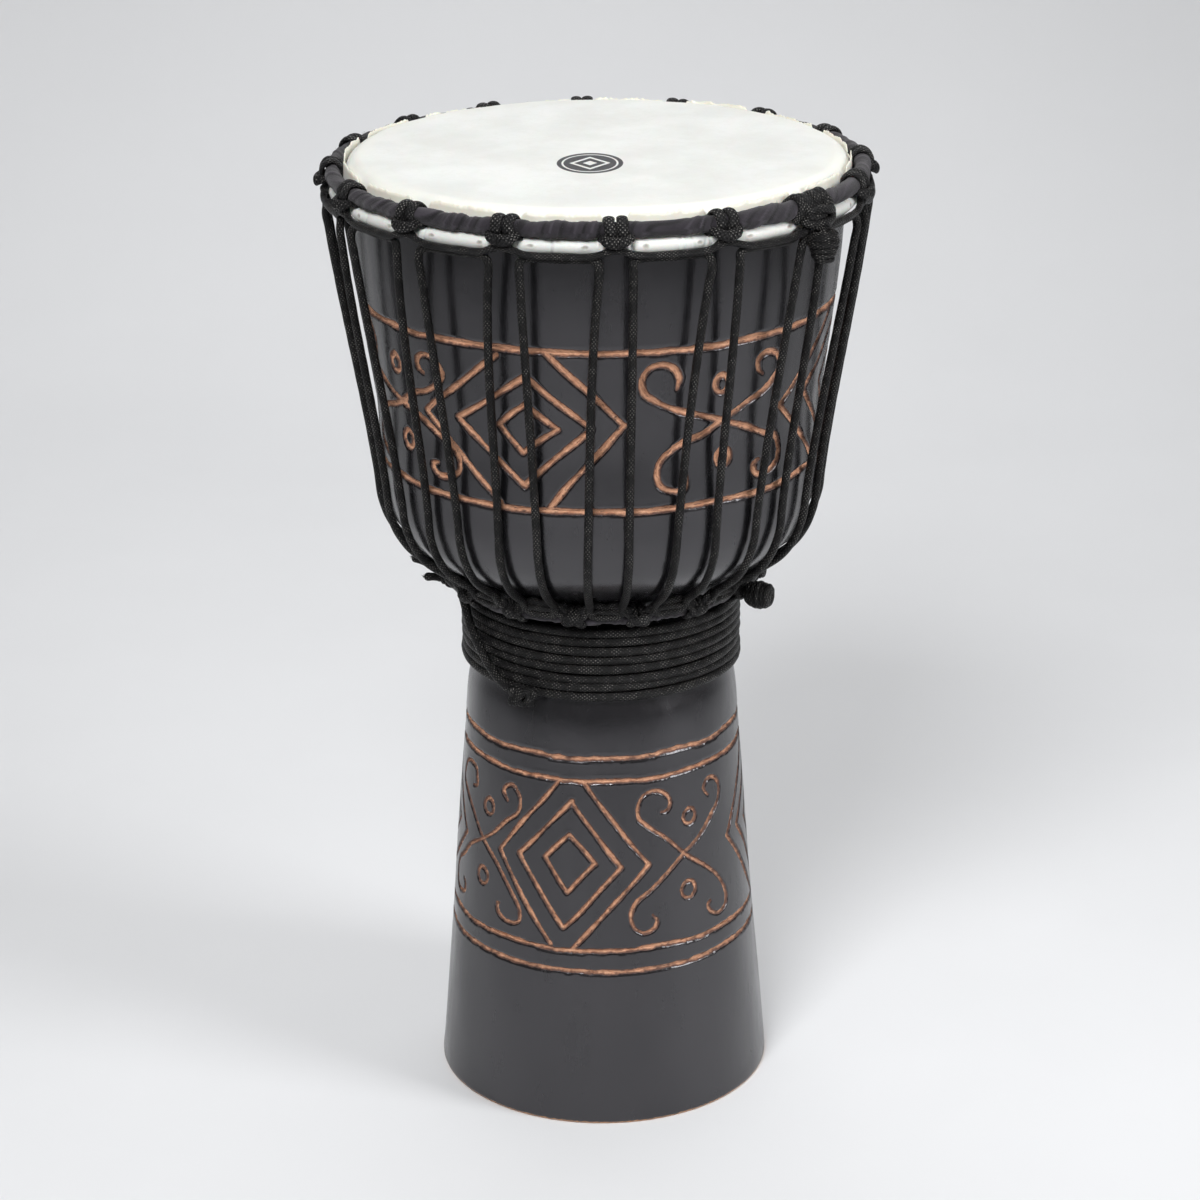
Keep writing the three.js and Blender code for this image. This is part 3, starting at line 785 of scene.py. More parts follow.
def shell_piece(name, low, high, step, cols, strokes, lines, radius, over_edge=False):
    """The outside of the shell between two heights, with its carving cut into the surface."""
    profile = outside_rows()
    profile = profile[(profile[:, 1] >= low - 1e-6) & ((profile[:, 1] <= high + 1e-6) | over_edge)]
    if low <= 1.4:
        profile = np.concatenate([[(106.4, 0.0), (107.2, 0.35)], profile])
    ends = np.array([[np.interp(h, profile[:, 1], profile[:, 0]), h] for h in (low, high)])
    if not over_edge:
        profile = np.concatenate([profile[:-1], ends[1:]])
    if low > 1.4:
        profile = np.concatenate([ends[:1], profile[1:]])
    s = lengths(profile)
    even = np.linspace(0, s[-1], int(round(s[-1] / step)) + 1)
    profile = np.stack([np.interp(even, s, profile[:, k]) for k in (0, 1)], axis=-1)
    lean = unit(np.gradient(profile, axis=0))
    normal = np.stack([lean[:, 1], -lean[:, 0]], axis=-1)
    azimuth, base_r, height = turned(profile, cols)
    cut, along, side = cut_distance(azimuth, height, radius, strokes, lines)
    wave = np.radians(azimuth)
    # Shallow unevenness left by the carver's blade, and gouge marks along each cut
    hand = 0.16 * np.sin(5 * wave + height * 0.021) + 0.12 * np.sin(9 * wave - height * 0.034 + 1.7)
    hand = hand + 0.08 * np.sin(14 * wave + height * 0.06 + 0.6)
    hand = hand * smoothstep(np.minimum(height - 2, 596 - height), 0, 10)
    ragged = cut + 0.16 * np.sin(along * 1.9) + 0.14 * np.sin(along * 0.83 + side)
    floor = smoothstep(-ragged, -0.25, 1.15)
    chatter = 1 + 0.10 * np.sin(along * 0.9) + 0.08 * np.sin(along * 2.3 + 1)
    scoop = 1 - 0.05 * side**2
    lip = 0.12 * np.exp(-((cut - 0.7) / 0.6) ** 2)
    lift = hand + lip - BAND_DEPTH * floor * chatter * np.clip(scoop, 0.6, 1)
    r = base_r + np.repeat(normal[:, 0], cols) * lift
    z = height + np.repeat(normal[:, 1], cols) * lift
    pile = turned_pile(on_drum(r, azimuth, z), even, cols)
    look = {"cut": cut, "along": along, "side": side}
    return pile.object(name, PAINTED_WOOD, "shell", "painted_wood", look)


BOWL_STROKES = carved_strokes(BOWL_DIAMOND, BOWL_SCROLL, BOWL_RINGS, BOWL_BAND)
STEM_STROKES = carved_strokes(STEM_DIAMOND, STEM_SCROLL, STEM_RINGS, STEM_BAND)
ALL_LINES = BOWL_LINES + STEM_LINES
shell_pieces = [
    shell_piece("shell_lip", BOWL_LINES[0], 600.9, 1.6, 720, BOWL_STROKES, ALL_LINES, 145.0, over_edge=True),
    shell_piece("shell_bowl_band", BOWL_LINES[1], BOWL_LINES[0], 1.15, 840, BOWL_STROKES, ALL_LINES, 141.0),
    shell_piece("shell_bowl_base", NECK_TOP, BOWL_LINES[1], 1.5, 720, BOWL_STROKES, ALL_LINES, 141.0),
    shell_piece("shell_neck", STEM_LINES[1], NECK_TOP, 1.5, 600, STEM_STROKES, ALL_LINES, 93.0),
    shell_piece("shell_stem_band", STEM_LINES[2], STEM_LINES[1], 1.05, 640, STEM_STROKES, ALL_LINES, 93.0),
    shell_piece("shell_foot", 0.0, STEM_LINES[2], 1.5, 600, STEM_STROKES, ALL_LINES, 98.0),
]


def shell_inside():
    """The hollowed inside, rough from the gouge, with the flat of the foot under it."""
    cols = 240
    profile = route(INSIDE, 4.0)
    profile = np.concatenate([[(BEARING_CENTRE[0], BEARING_TOP)], profile, [(88.0, 0.0), (106.4, 0.0)]])
    azimuth, radius, height = turned(profile, cols)
    wave = np.radians(azimuth)
    scallop = 0.5 * np.abs(np.sin(15 * wave + height * 0.02)) + 0.35 * np.sin(7 * wave + height * 0.09)
    scallop = scallop * smoothstep(np.minimum(height - 2, 600 - height), 0, 12)
    pile = turned_pile(on_drum(radius + scallop, azimuth, height), lengths(profile), cols)
    return pile.object("shell_inside", BARE_WOOD, "shell", "painted_wood")


shell_pieces.append(shell_inside())
for piece in shell_pieces:
    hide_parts("shell")


# ---------------------------------------------------------------- skin head

ROLL_RADIUS = 4.2
SKIN_STRIP = 120.0
CROWN_HITCHES = CROWN_START + HITCH_STEP * np.arange(HITCHES)
WAIST_HITCHES = WAIST_START + HITCH_STEP * (np.arange(HITCHES) + 0.5)


def turn_from(azimuth, targets):
    """Signed degrees from the nearest of the target azimuths."""
    gap = np.mod(azimuth[:, None] - np.asarray(targets)[None] + 180, 360) - 180
    return gap[np.arange(len(azimuth)), np.abs(gap).argmin(1)]


def arc_points(centre, radius, start, stop, count):
    turn = np.radians(np.linspace(start, stop, count))
    return np.stack([centre[0] + radius * np.cos(turn), centre[1] + radius * np.sin(turn)], axis=-1)


def head_disc():
    """The playing face and the part of the skin that goes down the shell's side."""
    cols = 420
    flat = np.concatenate([[0.0, 2.0, 5.0], np.arange(9.0, BEARING_CENTRE[0], 3.6)])
    outer = np.stack([flat, np.full(len(flat), HEAD_TOP)], axis=-1)
    over = arc_points(BEARING_CENTRE, BEARING_ROUND + CLEARANCE + SKIN, 90, 0, 14)
    down = np.array([(HEAD_RADIUS, 598.0), (HEAD_RADIUS, 594.6)])
    up = np.array([(HEAD_RADIUS - SKIN, 594.6), (HEAD_RADIUS - SKIN, 598.0)])
    under = arc_points(BEARING_CENTRE, BEARING_ROUND + CLEARANCE, 0, 90, 8)
    inner = np.array([(100.0, HEAD_TOP - SKIN), (40.0, HEAD_TOP - SKIN), (0.0, HEAD_TOP - SKIN)])
    profile = np.concatenate([outer, over, down, up, under, inner])[::-1]
    azimuth, radius, height = turned(profile, cols)
    wave = np.radians(azimuth)
    edge = smoothstep(radius, 126, 148)
    ripple = 0.10 * np.sin(15 * wave + 0.4) + 0.07 * np.sin(37 * wave + radius * 0.05)
    dish = 0.10 * np.sin(radius * 0.045 + 2 * wave) * smoothstep(radius, 0, 40)
    height = height + (ripple * edge + dish * (1 - edge) - 0.12) * smoothstep(height, 604, 609.6)
    pile = turned_pile(on_drum(radius, azimuth, height), lengths(profile), cols)
    zero = np.zeros(len(radius))
    made = pile.object("head_skin", GOAT_SKIN, None, "goat_skin", {"trim": zero, "puncture": zero})
    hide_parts("drumhead_skin")
    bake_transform(made)


ROLL_MM_PER_DEGREE = 2.84


def head_roll():
    """The skin rolled round the flesh ring, its trimmed edge standing up inside the crown ring."""
    cols = 1260
    centre = (FLESH_R, FLESH_Z)
    outer = np.concatenate([
        [(151.7, 595.4)], arc_points(centre, ROLL_RADIUS + 0.4, 180, 460, 33),
        [(154.9, 596.0), (153.9, 597.7), (153.9, 600.5), (153.9, 603.5), (153.9, 605.5), (153.9, 607.5)],
    ])
    inner = np.concatenate([
        [(153.3, 607.5), (153.2, 605.5), (153.1, 602.0), (153.1, 597.2), (154.4, 595.4)],
        arc_points(centre, ROLL_RADIUS - 0.4, 460, 180, 9), [(152.1, 595.3)],
    ])
    profile = np.concatenate([outer, inner])
    azimuth, radius, height = turned(profile, cols)
    wave = np.radians(azimuth)
    face = np.repeat(np.r_[np.ones(len(outer)), np.zeros(len(inner))], cols)
    out_r, out_z = radius - FLESH_R, height - FLESH_Z
    reach = np.hypot(out_r, out_z)
    out_r, out_z = out_r / reach, out_z / reach
    on_roll = face * smoothstep(596.2 - height, 0, 0.6) * smoothstep(radius, 154.0, 156.0)

    draw = np.random.default_rng(5)
    lift = 0.22 * np.sin(11 * wave + 0.5) + 0.16 * np.sin(23 * wave + 2.1) + 0.12 * np.sin(52 * wave)
    creases = np.sort(draw.uniform(0, 360, 70))
    for place in creases:
        lean = draw.uniform(-0.10, 0.10)
        gap = np.mod(azimuth - place + lean * (height - FLESH_Z) + 180, 360) - 180
        depth, width = draw.uniform(0.25, 0.8), draw.uniform(0.12, 0.34)
        lift = lift - depth * np.exp(-(gap / width) ** 2)
        lift = lift + 0.35 * depth * np.exp(-((gap - 2.3 * width) / width) ** 2)
    from_hitch = turn_from(azimuth, CROWN_HITCHES)
    lift = lift - 0.9 * np.exp(-(from_hitch / 2.2) ** 2)

    puncture = np.zeros(len(azimuth))
    for hitch in CROWN_HITCHES:
        for way in (-1, 1):
            place = hitch + way * draw.uniform(5.2, 6.2)
            level = draw.uniform(590.6, 591.8)
            gap = np.mod(azimuth - place + 180, 360) - 180
            across = gap * ROLL_MM_PER_DEGREE / draw.uniform(1.7, 2.7)
            above = (height - level) / draw.uniform(1.2, 1.9)
            puncture = np.maximum(puncture, np.exp(-np.hypot(across, above)**2))
    lift = lift - 0.7 * smoothstep(puncture, 0.5, 1.0) + 0.25 * smoothstep(puncture, 0.05, 0.35)
    radius = radius + out_r * lift * on_roll
    height = height + out_z * lift * on_roll

    # Trimmed edge: cut by hand, wavy and nicked, tucked down where a hitch goes over it
    top = 608.4 + 0.6 * wobble(wave, 11, 6, 3, 12) + 0.45 * wobble(wave, 12, 8, 30, 90)
    top = top + 0.35 * wobble(wave, 13, 10, 120, 300)
    tuck = smoothstep(np.abs(from_hitch), 2.0, 3.4)
    top = 603.5 + (np.clip(top, 606.0, 610.2) - 603.5) * tuck
    share = np.clip((height - 597.0) / 10.5, 0, 1) * (radius < 155.5)
    height = np.where(share > 0, 597.0 + share * (top - 597.0), height)
    flutter = 0.28 * wobble(wave, 14, 8, 20, 70) * share
    radius = radius + flutter - 0.35 * share
    trim = smoothstep(share, 0.35, 0.75)

    along = np.r_[lengths(profile), SKIN_STRIP]
    pile = turned_pile(on_drum(radius, azimuth, height), along, cols, closed_rows=True)
    marks = {"trim": trim, "puncture": puncture * on_roll}
    made = pile.object("head_roll", GOAT_SKIN, "crown", "goat_skin", marks)
    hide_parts("drumhead_skin")


head_disc()
head_roll()


# ---------------------------------------------------------------- cloth on the rings

def cloth_wrap(name, body, node, ring_r, ring_z, base, pitch, cols, bulge, seed):
    """Cloth strips wound on the slant round a steel ring, each turn lapping over the last."""
    sides = 26
    azimuth = np.repeat(np.arange(cols) * 360 / cols, sides)
    phi = np.tile(np.arange(sides) / sides, cols)
    wave = np.radians(azimuth)
    turns = round(2 * np.pi * ring_r / pitch)
    lap = wave / (2 * np.pi) * turns + 0.32 * wobble(wave, seed, 6, 4, 22) - phi
    lap = lap + 0.10 * np.sin(2 * np.pi * phi + 3 * wave)
    f = np.mod(lap, 1.0)
    strip = np.floor(lap)
    own = 0.5 + 0.5 * np.sin(strip * 12.9898 + seed)
    ridge = (0.45 + 0.55 * own) * smoothstep(f, 0.0, 0.72) * (1 - smoothstep(f, 0.91, 0.985))
    pleat = 0.24 * np.sin(f * 17 + own * 9) * smoothstep(f, 0.1, 0.3) + 0.09 * np.sin(f * 41 + strip * 3)
    lump = 0.22 * wobble(wave, seed + 1, 6, 6, 30) + 0.16 * np.sin(2 * np.pi * phi * 2 + 7 * wave + strip)
    # Painted light and shade on the cloth: this value is raised along each lapped edge for a painted
    # highlight and dropped in the crease after it for painted shade.
    painted_fold_shading = 0.45 + 1.4 * pleat + 0.35 * smoothstep(f, 0.78, 0.88)
    painted_fold_shading = np.clip(painted_fold_shading - 1.1 * smoothstep(f, 0.90, 0.97), 0, 1)
    painted_fold_shading = np.clip(painted_fold_shading - 0.4 * (1 - smoothstep(f, 0.0, 0.12)), 0, 1)
    reach = base + ridge + pleat + lump + bulge(azimuth)
    angle = 2 * np.pi * phi
    pile = Pile()
    quads = grid_faces(cols, sides, closed_rows=True)
    along = np.arange(cols + 1) * 2 * np.pi * ring_r / cols
    uvs = grid_uvs(np.arange(sides + 1) / sides, along, quads, sides)
    verts = on_drum(ring_r + reach * np.cos(angle), azimuth, ring_z + reach * np.sin(angle))
    pile.put(verts, quads[:, ::-1], uvs[:, ::-1])
    made = pile.object(name, CLOTH, body, "ring_cloth", {"painted_fold_shading": painted_fold_shading})
    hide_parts(node)

    # Threads pulled loose along the lapped edges
    draw = np.random.default_rng(seed)
    edge = np.flatnonzero((f > 0.88) & (np.cos(angle) > -0.2))
    pick = draw.choice(edge, size=420, replace=False)
    centre = on_drum(ring_r, azimuth[pick], ring_z)
    outward = unit(verts[pick] - centre)
    hairs = Pile()
    stray_fibres(hairs, verts[pick] - outward * 0.2, outward, len(pick), 2.4, 0.07, 0.9, seed)
    # The loose threads get part of the painted highlight.
    thread_painted_light = np.full(hairs.count, 0.8)
    hairs.object(name + "_threads", CLOTH, body, "ring_cloth", {"painted_fold_shading": thread_painted_light})


def crown_bulge(azimuth):
    """The wrapping is thicker where a strip was started, right of the front."""
    return 0.75 * smoothstep(azimuth, 27, 32) * (1 - smoothstep(azimuth, 46, 50))


def waist_bulge(azimuth):
    return 0.35 * np.sin(np.radians(azimuth) * 9 + 1) + 0.2


cloth_wrap("crown_cloth", "crown", "crown_ring_wrap", CROWN_R, CROWN_Z, 4.35, 27.0, 1500, crown_bulge, 31)
cloth_wrap("waist_cloth", "shell", "waist_ring_wrap", WAIST_R, WAIST_Z, 3.9, 20.0, 900, waist_bulge, 47)


# ---------------------------------------------------------------- loop ropes and their hitches

def hitch_path(azimuth, points, way, step=0.9):
    """A rope path near a hitch. Each point is (mm round the drum, radius, height, facing angle):
    facing 0 looks outward, 90 up. Returns the path and the directions its flat side faces."""
    rows = []
    for u, radius, height, facing in points:
        turned_by = azimuth + way * math.degrees(u / radius)
        place = on_drum(radius, turned_by, height)
        out = on_drum(1.0, turned_by, 0.0)
        face = out * math.cos(math.radians(facing)) + np.array([0, 0, math.sin(math.radians(facing))])
        rows.append(np.r_[place, face * 0.01])
    both = route(rows, step)
    return both[:, :3], unit(both[:, 3:])


CROWN_LEG = [
    (8.2, 163.8, 596.4, -40), (7.8, 160.8, 595.0, -90), (6.4, 156.8, 596.0, -130), (5.2, 154.6, 599.0, -170),
    (4.3, 154.4, 602.4, 170), (3.8, 156.4, 605.8, 130), (3.7, 160.0, 607.2, 92), (3.65, 163.9, 606.0, 52),
    (3.6, 166.4, 602.8, 20), (3.4, 166.7, 599.4, -5), (2.9, 165.2, 596.0, -10), (2.6, 164.9, 592.4, -5),
    (4.2, 165.4, 590.2, 0), (7.6, 166.0, 588.6, 0), (10.8, 166.2, 587.6, 0), (14.5, 166.2, 586.9, 0),
]
CROWN_BAR = [
    (-8.9, 163.4, 598.2, -30), (-7.5, 167.0, 597.0, -5), (-5.2, 169.3, 595.9, 0), (-2.6, 169.9, 595.4, 0),
    (0, 170.0, 595.2, 0), (2.6, 169.9, 595.4, 0), (5.2, 169.3, 595.9, 0), (7.5, 167.0, 597.0, -5),
    (8.9, 163.4, 598.2, -30),
]
CROWN_UNDER = [
    (-8.6, 165.0, 587.8, 0), (-4.4, 166.0, 589.2, 0), (0, 166.3, 589.9, 0), (4.4, 166.0, 589.2, 0),
    (8.6, 165.0, 587.8, 0),
]


def rope_piece(pile, name, look, body, node):
    """Make the pile one rope object that takes the place of the frame's node."""
    made = pile.object(name, look, body, "black_rope")
    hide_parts(node)
    return made


def nudged(points, draw, amount):
    """The same points, each a little out of place, as no two hand-tied hitches are alike."""
    return [(u + draw.normal(0, amount), r + abs(draw.normal(0, amount * 0.3)), z + draw.normal(0, amount), f)
            for u, r, z, f in points]


def clear_of(path, azimuth):
    """0 within the hitch at this azimuth, easing to 1 clear of it."""
    flat = np.degrees(np.arctan2(path[:, 0], -path[:, 1]))
    away = np.abs(np.mod(flat - azimuth + 180, 360) - 180)
    return smoothstep(away, 1.6, 3.6)


def crown_loops():
    pile = Pile()
    draw = np.random.default_rng(8)
    for index, azimuth in enumerate(CROWN_HITCHES):
        following = azimuth + HITCH_STEP
        leave, leave_face = hitch_path(azimuth, nudged(CROWN_LEG, draw, 0.22), 1)
        arrive, arrive_face = hitch_path(following, nudged(CROWN_LEG, draw, 0.22), -1)
        sag = draw.normal(0, 0.35)
        between = on_drum(166.2, azimuth + np.linspace(6.5, HITCH_STEP - 6.5, 5),
                          586.6 + sag * np.array([0.4, 1, 1.2, 1, 0.4]))
        route_points = np.concatenate([leave[::3], between, arrive[::-1][::3]])
        path = route(route_points, 1.0)
        faces = np.concatenate([leave_face[::3], between * (1, 1, 0) / 166.2, arrive_face[::-1][::3]])
        where = lengths(route_points)
        fine = np.interp(np.linspace(0, 1, len(path)), where / where[-1], np.arange(len(where)))
        face = np.stack([np.interp(fine, np.arange(len(where)), faces[:, k]) for k in range(3)], axis=-1)
        clear = np.minimum(clear_of(path, azimuth), clear_of(path, following))
        on_ring = smoothstep(path[:, 2], 590.5, 596.0)
        half = LOOP_RADIUS + 0.15 - 0.45 * on_ring
        wide = 1.0 + 1.1 * on_ring * (1 - clear * 0.2)
        tube(pile, path, half, sides=14, width=wide, normals=unit(face), lump=0.03)
        bar, bar_face = hitch_path(azimuth, nudged(CROWN_BAR, draw, 0.15), 1, 0.3)
        swell = np.sin(np.pi * np.linspace(0, 1, len(bar))) ** 0.8
        tube(pile, bar, 1.9, sides=18, width=0.7 + 1.15 * swell, normals=bar_face, lump=0.03, ribs=0.12)
        under, under_face = hitch_path(azimuth, nudged(CROWN_UNDER, draw, 0.1), 1, 0.8)
        tube(pile, under, 1.8, sides=12, normals=under_face, lump=0.03)
        if index == 2:
            bulky_hitch(pile, azimuth, draw)
    rope_piece(pile, "crown_loops", LOOP, "crown", "crown_loop_rope")


BULKY_LOOP = [
    (-10, 163.4, 597.4, 0), (-6, 168.6, 599.2, 0), (0, 171.2, 599.9, 0), (6, 171.6, 599.3, 0),
    (11, 170.6, 597.8, 0), (13, 169.4, 595.6, 0), (11.2, 170.8, 593.2, 0), (6, 172.0, 592.0, 0),
    (0, 171.9, 591.8, 0), (-6, 169.8, 592.4, 0), (-11, 165.6, 594.2, 0),
]


def bulky_hitch(pile, azimuth, draw):
    """The joining hitch, where both rope ends are wrapped round the ring again and tied off."""
    for shift, lean in ((-13.2, 2.5), (-8.6, 1.5), (9.6, -1.5), (14.0, -2.5)):
        turns = [(shift + lean * (z - 600) / 8, r + 0.3, z, f) for _, r, z, f in CROWN_LEG[2:12]]
        path, face = hitch_path(azimuth, nudged(turns, draw, 0.3), 1)
        tube(pile, path, 1.9, sides=12, width=1.35, normals=face, lump=0.04)
    path, face = hitch_path(azimuth, nudged(BULKY_LOOP, draw, 0.2), 1, 0.8)
    tube(pile, path, 2.3, sides=14, width=1.05, normals=face, lump=0.03)
    low = [(u * 1.35, r + 1.4, z - 6.2 + 0.25 * abs(u), f) for u, r, z, f in CROWN_BAR]
    path, face = hitch_path(azimuth + 0.8, nudged(low, draw, 0.2), 1, 0.8)
    tube(pile, path, 2.0, sides=12, width=1.1, normals=face, lump=0.04)


crown_loops()

WAIST_LEG = [
    (5.2, 100.8, 342.0, -30), (4.6, 99.2, 339.6, -60), (3.8, 95.4, 338.2, -95), (3.1, 91.2, 339.6, -150),
    (2.9, 90.0, 343.5, 180), (2.9, 91.4, 347.4, 130), (2.9, 94.8, 349.4, 90), (2.9, 98.4, 348.8, 52),
    (2.9, 101.2, 346.4, 15), (2.9, 102.2, 343.2, 0), (3.1, 101.6, 340.4, -15),
]
WAIST_EXIT = [
    (3.4, 101.6, 345.8, 0), (5.4, 101.8, 348.6, 5), (8.2, 101.6, 351.0, 10), (11.4, 101.2, 352.4, 10),
]


def waist_loops():
    pile = Pile()
    draw = np.random.default_rng(17)
    for azimuth in WAIST_HITCHES:
        for way in (-1, 1):
            path, face = hitch_path(azimuth, nudged(WAIST_LEG, draw, 0.3), way)
            tube(pile, path, 1.7, sides=12, width=1.75, normals=face, lump=0.05)
        cross = [(u, 104.0 - 0.02 * u * u, 343.4 + draw.normal(0, 0.6) + 0.05 * u * u, 0)
                 for u in (-6.4, -3.2, 0, 3.2, 6.4)]
        path, face = hitch_path(azimuth, cross, 1, 0.8)
        swell = np.sin(np.pi * np.linspace(0, 1, len(path)))
        tube(pile, path, 1.7, sides=14, width=0.9 + 1.0 * swell, normals=face, ribs=0.1)
        for strand, (lift, out) in enumerate(((0.0, 0.0), (-3.6, 0.9))):
            left = [(u, r + out, z + lift, f) for u, r, z, f in WAIST_EXIT]
            middle = azimuth + HITCH_STEP / 2
            first, _ = hitch_path(azimuth, nudged(left, draw, 0.3), 1)
            last, _ = hitch_path(azimuth + HITCH_STEP, nudged(left, draw, 0.3), -1)
            crest = on_drum(101.4 + out, middle + np.array([-4.0, 0.0, 4.0]),
                            352.8 + lift + draw.normal(0, 0.35, 3))
            path = route(np.concatenate([first[::3], crest, last[::-1][::3]]), 1.1)
            outward = unit(path * (1, 1, 0))
            tube(pile, path, 1.8 - 0.2 * strand, sides=12, width=1.2, normals=outward, lump=0.04)
    rope_piece(pile, "waist_loops", LOOP, "shell", "waist_loop_rope")


waist_loops()


# ---------------------------------------------------------------- lacing

LACING_RUN = [
    (0, 165.2, 578.0), (0.08, 164.0, 569.0), (0.82, 138.9, 410.0), (0.88, 137.0, 394.0), (0.92, 132.5, 381.0),
    (0.96, 122.8, 366.8), (0.99, 112.3, 358.4), (1.0, 105.8, 353.6), (1.0, 102.2, 348.4),
]
LACING_TURN = [
    (3.3, 164.2, 582.4), (4.3, 163.1, 584.0), (6.6, 163.0, 584.6), (11.2, 163.1, 584.5), (16.0, 163.2, 584.5),
    (18.1, 163.6, 584.2), (19.0, 164.4, 582.6),
]
FIRST_HITCH = 2
# Both ends of the rope are tucked up under the joining hitch
LACING_START = [(1.9, 165.4, 591.0), (1.0, 164.8, 586.0)]
LACING_END = [(17.4, 164.4, 586.0), (18.2, 165.4, 590.5)]


def lacing_run(hitch, way, draw):
    top = CROWN_START + hitch * HITCH_STEP + way * (CROWN_SPREAD + draw.normal(0, 0.12))
    foot = WAIST_START + hitch * HITCH_STEP + way * (WAIST_SPREAD + draw.normal(0, 0.25))
    return [on_drum(r, top + (foot - top) * share, z) for share, r, z in LACING_RUN]


def lacing():
    draw = np.random.default_rng(3)
    joining = CROWN_START + FIRST_HITCH * HITCH_STEP - CROWN_SPREAD
    points = [on_drum(r, joining + turn, z) for turn, r, z in LACING_START]
    for k in range(HITCHES):
        hitch = FIRST_HITCH + k
        points += lacing_run(hitch, -1, draw)
        middle = WAIST_START + hitch * HITCH_STEP
        points += [on_drum(100.6, middle + turn, 345.6) for turn in (-4.0, 0.0, 4.0)]
        points += lacing_run(hitch, 1, draw)[::-1]
        start = CROWN_START + hitch * HITCH_STEP
        drop = draw.normal(0, 0.25)
        turns = LACING_TURN if k < HITCHES - 1 else LACING_TURN[:-2] + LACING_END
        points += [on_drum(r, start + turn, z + drop) for turn, r, z in turns]
    pile = Pile()
    path = route(points, 1.6)
    tube(pile, path, LACING_RADIUS, sides=12, normals=unit(path * (1, 1, 0)), lump=0.02)
    made = rope_piece(pile, "lacing", LACING, None, "lacing_rope")
    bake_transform(made)


lacing()


# ---------------------------------------------------------------- neck winding, tie and knots

WINDING_TURNS = 8
WINDING_PITCH = 5.9
WINDING_R = 86.2
WINDING_TOP = 332.0
TIE_STRAND = [(-74, 338), (-69, 333), (-66, 327), (-62, 318), (-56, 309), (-50, 300), (-44, 292), (-38, 287)]


def winding():
    pile = Pile()
    turns = np.linspace(0, WINDING_TURNS, WINDING_TURNS * 190 + 1)
    wave = 2 * np.pi * turns
    slip = 0.6 * wobble(wave / 8, 21, 6, 5, 30) + 0.25 * np.sin(wave + 0.8)
    radius = WINDING_R + 0.4 * wobble(wave / 8, 22, 6, 8, 40)
    path = on_drum(radius, 180 + turns * 360, WINDING_TOP - turns * WINDING_PITCH + slip)
    tube(pile, path, 2.75, sides=12, width=1.04, normals=unit(path * (1, 1, 0)), lump=0.02)
    rope_piece(pile, "winding", LACING, "shell", "neck_winding")


def tie():
    pile = Pile()
    path = route([on_drum(92.2, a, z) for a, z in TIE_STRAND], 1.4)
    tube(pile, path, 2.8, sides=12, normals=unit(path * (1, 1, 0)), lump=0.03)
    rope_piece(pile, "tie", LACING, "shell", "tie_strand")

    pile = Pile()
    base = on_drum(94.6, -31, 286.6)
    out = on_drum(1.0, -31, 0.0)
    across = on_drum(1.0, 59, 0.0)
    up = np.array([0.0, 0.0, 1.0])
    for phase in (0.0, 2.1, 4.2):
        t = np.linspace(0, 2 * np.pi, 70)[:-1]
        path = (
            base + out * 1.2
            + across * (6.0 * np.sin(t + phase))[:, None]
            + up * (4.4 * np.sin(2 * t + phase))[:, None]
            + out * (2.4 * np.cos(t + phase * 1.5))[:, None]
        )
        tube(pile, path, 2.5, sides=10, closed=True, normals=unit(path - base))
    tail = route([
        base + across * 3, base + across * 7 + up * 1.5 + out * 1, base + across * 10 + up * 4.5,
    ], 1.2)
    tube(pile, tail, 2.5, sides=12)
    lead = route([base - across * 9 + up * 2 - out * 1.5, base - across * 4 + up * 1, base], 1.2)
    tube(pile, lead, 2.4, sides=12)
    rope_piece(pile, "tie_knot_rope", LACING, "shell", "tie_knot")


def stopper(name, node, body, base, axis, coils, radius, length, rope, seed, narrow, tail):
    pile = Pile()
    barrel_knot(pile, base, axis, coils, radius, length, rope, seed, narrow)
    path = route(tail, 1.3)
    tube(pile, path, rope, sides=12)
    rope_piece(pile, name, LACING, body, node)


def rope_stub(name, node, base, direction, length, seed):
    """A cut end of rope, melted and a little frayed."""
    pile = Pile()
    direction = unit(np.asarray(direction, float))
    path = route([base, base + direction * length * 0.5 + (0, 0, 0.5), base + direction * length], 1.2)
    swell = 2.5 + 0.45 * smoothstep(lengths(path), length - 5, length)
    tube(pile, path, swell, sides=12)
    stray_fibres(pile, path[-2:], direction[None], 26, 3.2, 0.09, 0.55, seed)
    rope_piece(pile, name, LACING, "shell", node)


winding()
tie()
stopper(
    "crown_stopper", "crown_stopper_knot", "crown", on_drum(173.2, 48.5, 569.8), (0, 0, 1), 4, 9.8, 17.6,
    2.25, 61, 0.32, [on_drum(173.2, 48.5, 585.0), on_drum(171.6, 48.5, 588.5), on_drum(168.6, 48.5, 592.0)],
)
stopper(
    "waist_stopper", "waist_stopper_knot", "shell", on_drum(107, 58, 344), on_drum(1, 62, 0), 4, 8.7, 16.0,
    2.3, 62, 0.0, [on_drum(110, 58, 344), on_drum(104, 57, 345), on_drum(101, 54, 346)],
)
rope_stub("upper_stub", "upper_rope_end", on_drum(106.5, -78, 350), on_drum(1, -86, 0.5), 15.0, 63)
rope_stub("lower_stub", "lower_rope_end", on_drum(103.5, -72, 346), on_drum(1, -80, 0.15), 11.5, 64)


# ---------------------------------------------------------------- floor, light and camera

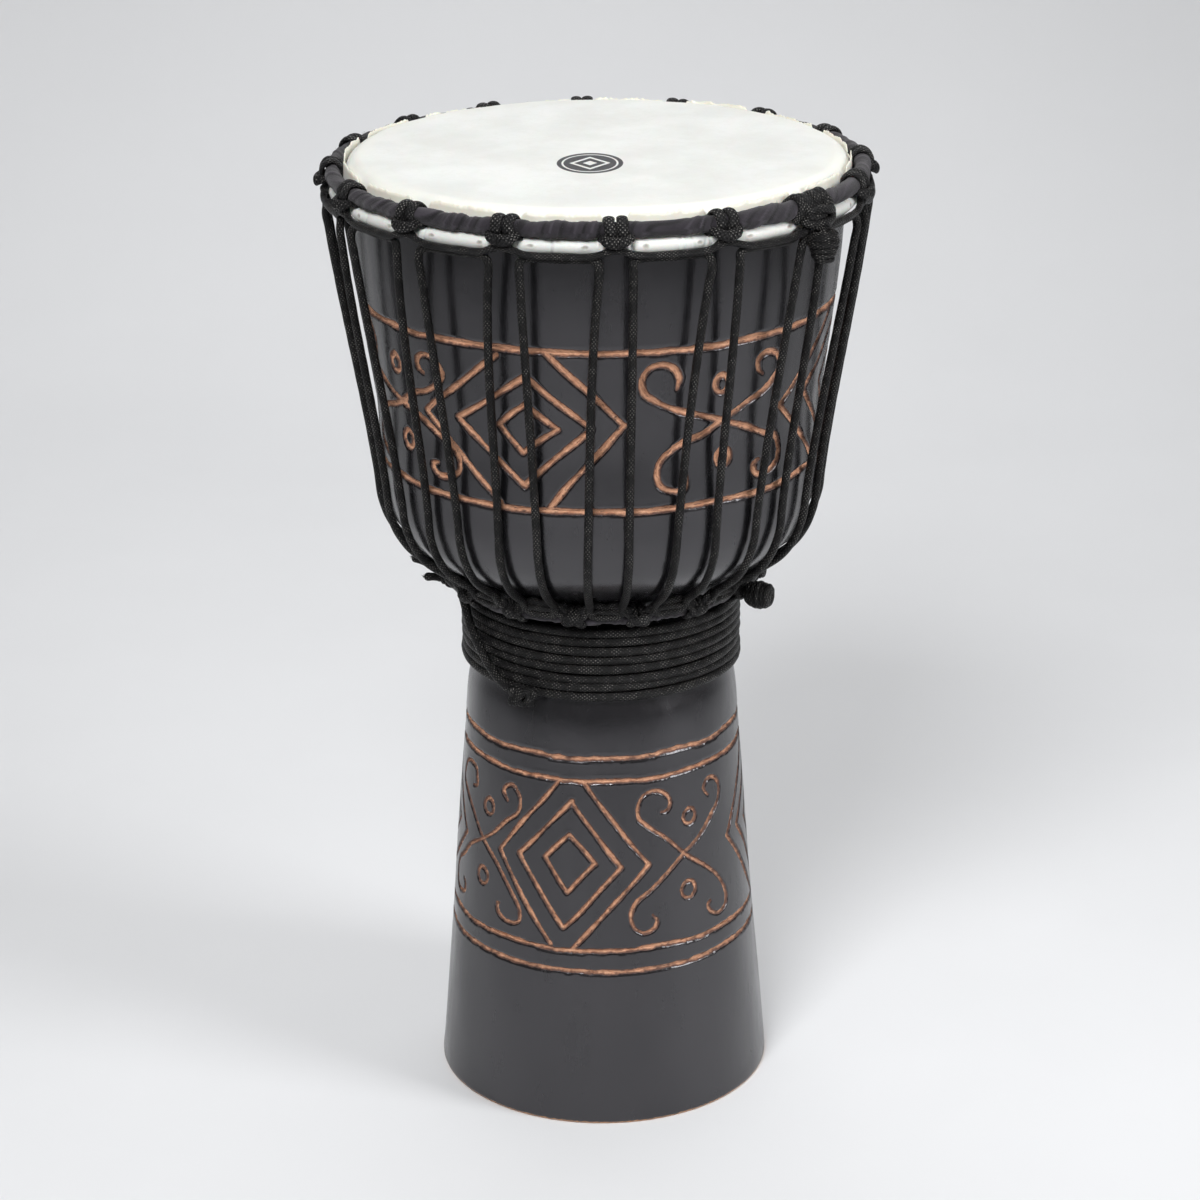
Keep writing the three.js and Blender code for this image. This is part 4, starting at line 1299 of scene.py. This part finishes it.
def studio():
    look = floor_look()
    front, back, sweep, wall_top, half_width = -3.0, 1.32, 0.9, 3.2, 4.0
    profile = [(front, 0.0), (0.0, 0.0), (back, 0.0)]
    steps = 12
    for step in range(1, steps + 1):
        turn = math.radians(step * 90 / steps)
        profile.append((back + sweep * math.sin(turn), sweep - sweep * math.cos(turn)))
    profile.append((back + sweep, wall_top))
    verts, faces = [], []
    for k, (y, z) in enumerate(profile):
        verts += [(-half_width, y, z), (half_width, y, z)]
        if k:
            faces.append((2 * k - 2, 2 * k - 1, 2 * k + 1, 2 * k))
    mesh = bpy.data.meshes.new("floor")
    mesh.from_pydata(verts, [], faces)
    mesh.polygons.foreach_set("use_smooth", [True] * len(faces))
    mesh.materials.append(look)
    floor = bpy.data.objects.new("floor", mesh)
    bpy.context.scene.collection.objects.link(floor)


def softbox(name, place, aim, width, height, power, spread):
    data = bpy.data.lights.new(name, "AREA")
    data.shape = "RECTANGLE"
    data.size, data.size_y = width, height
    data.energy = power
    data.spread = math.radians(spread)
    lamp = bpy.data.objects.new(name, data)
    lamp.location = place
    lamp.rotation_euler = (Vector(aim) - Vector(place)).to_track_quat("-Z", "Y").to_euler()
    bpy.context.scene.collection.objects.link(lamp)


studio()
softbox("key", (-0.6, -1.9, 2.2), (0, -0.3, 0.25), 1.0, 1.0, 13, 80)
softbox("fill", (1.9, -0.9, 1.3), (0, 0, 0.25), 0.8, 1.6, 7.5, 80)
softbox("top", (0.1, 0.3, 2.7), (0, 0.2, 0.4), 1.8, 1.5, 7, 180)
softbox("backdrop", (0, 1.5, 2.4), (0, 1.6, 0), 3.0, 1.0, 14, 120)

world = bpy.data.worlds.new("studio")
world.use_nodes = True
world.node_tree.nodes["Background"].inputs[0].default_value = (1.0, 0.995, 0.985, 1.0)
world.node_tree.nodes["Background"].inputs[1].default_value = 0.16
bpy.context.scene.world = world
bpy.context.scene.view_settings.view_transform = "Standard"

camera_data = bpy.data.cameras.new("camera")
camera_data.lens = 97.365
camera_data.sensor_width = 36
camera_data.shift_x = -0.000675
camera = bpy.data.objects.new("camera", camera_data)
bpy.context.scene.collection.objects.link(camera)
PITCH, ROLL = 20.779, 0.431
camera.matrix_world = (
    Matrix.Translation((0.0, -1.9328, 1.0518))
    @ Matrix.Rotation(math.radians(90 - PITCH), 4, "X")
    @ Matrix.Rotation(math.radians(-ROLL), 4, "Z")
)
bpy.context.scene.camera = camera
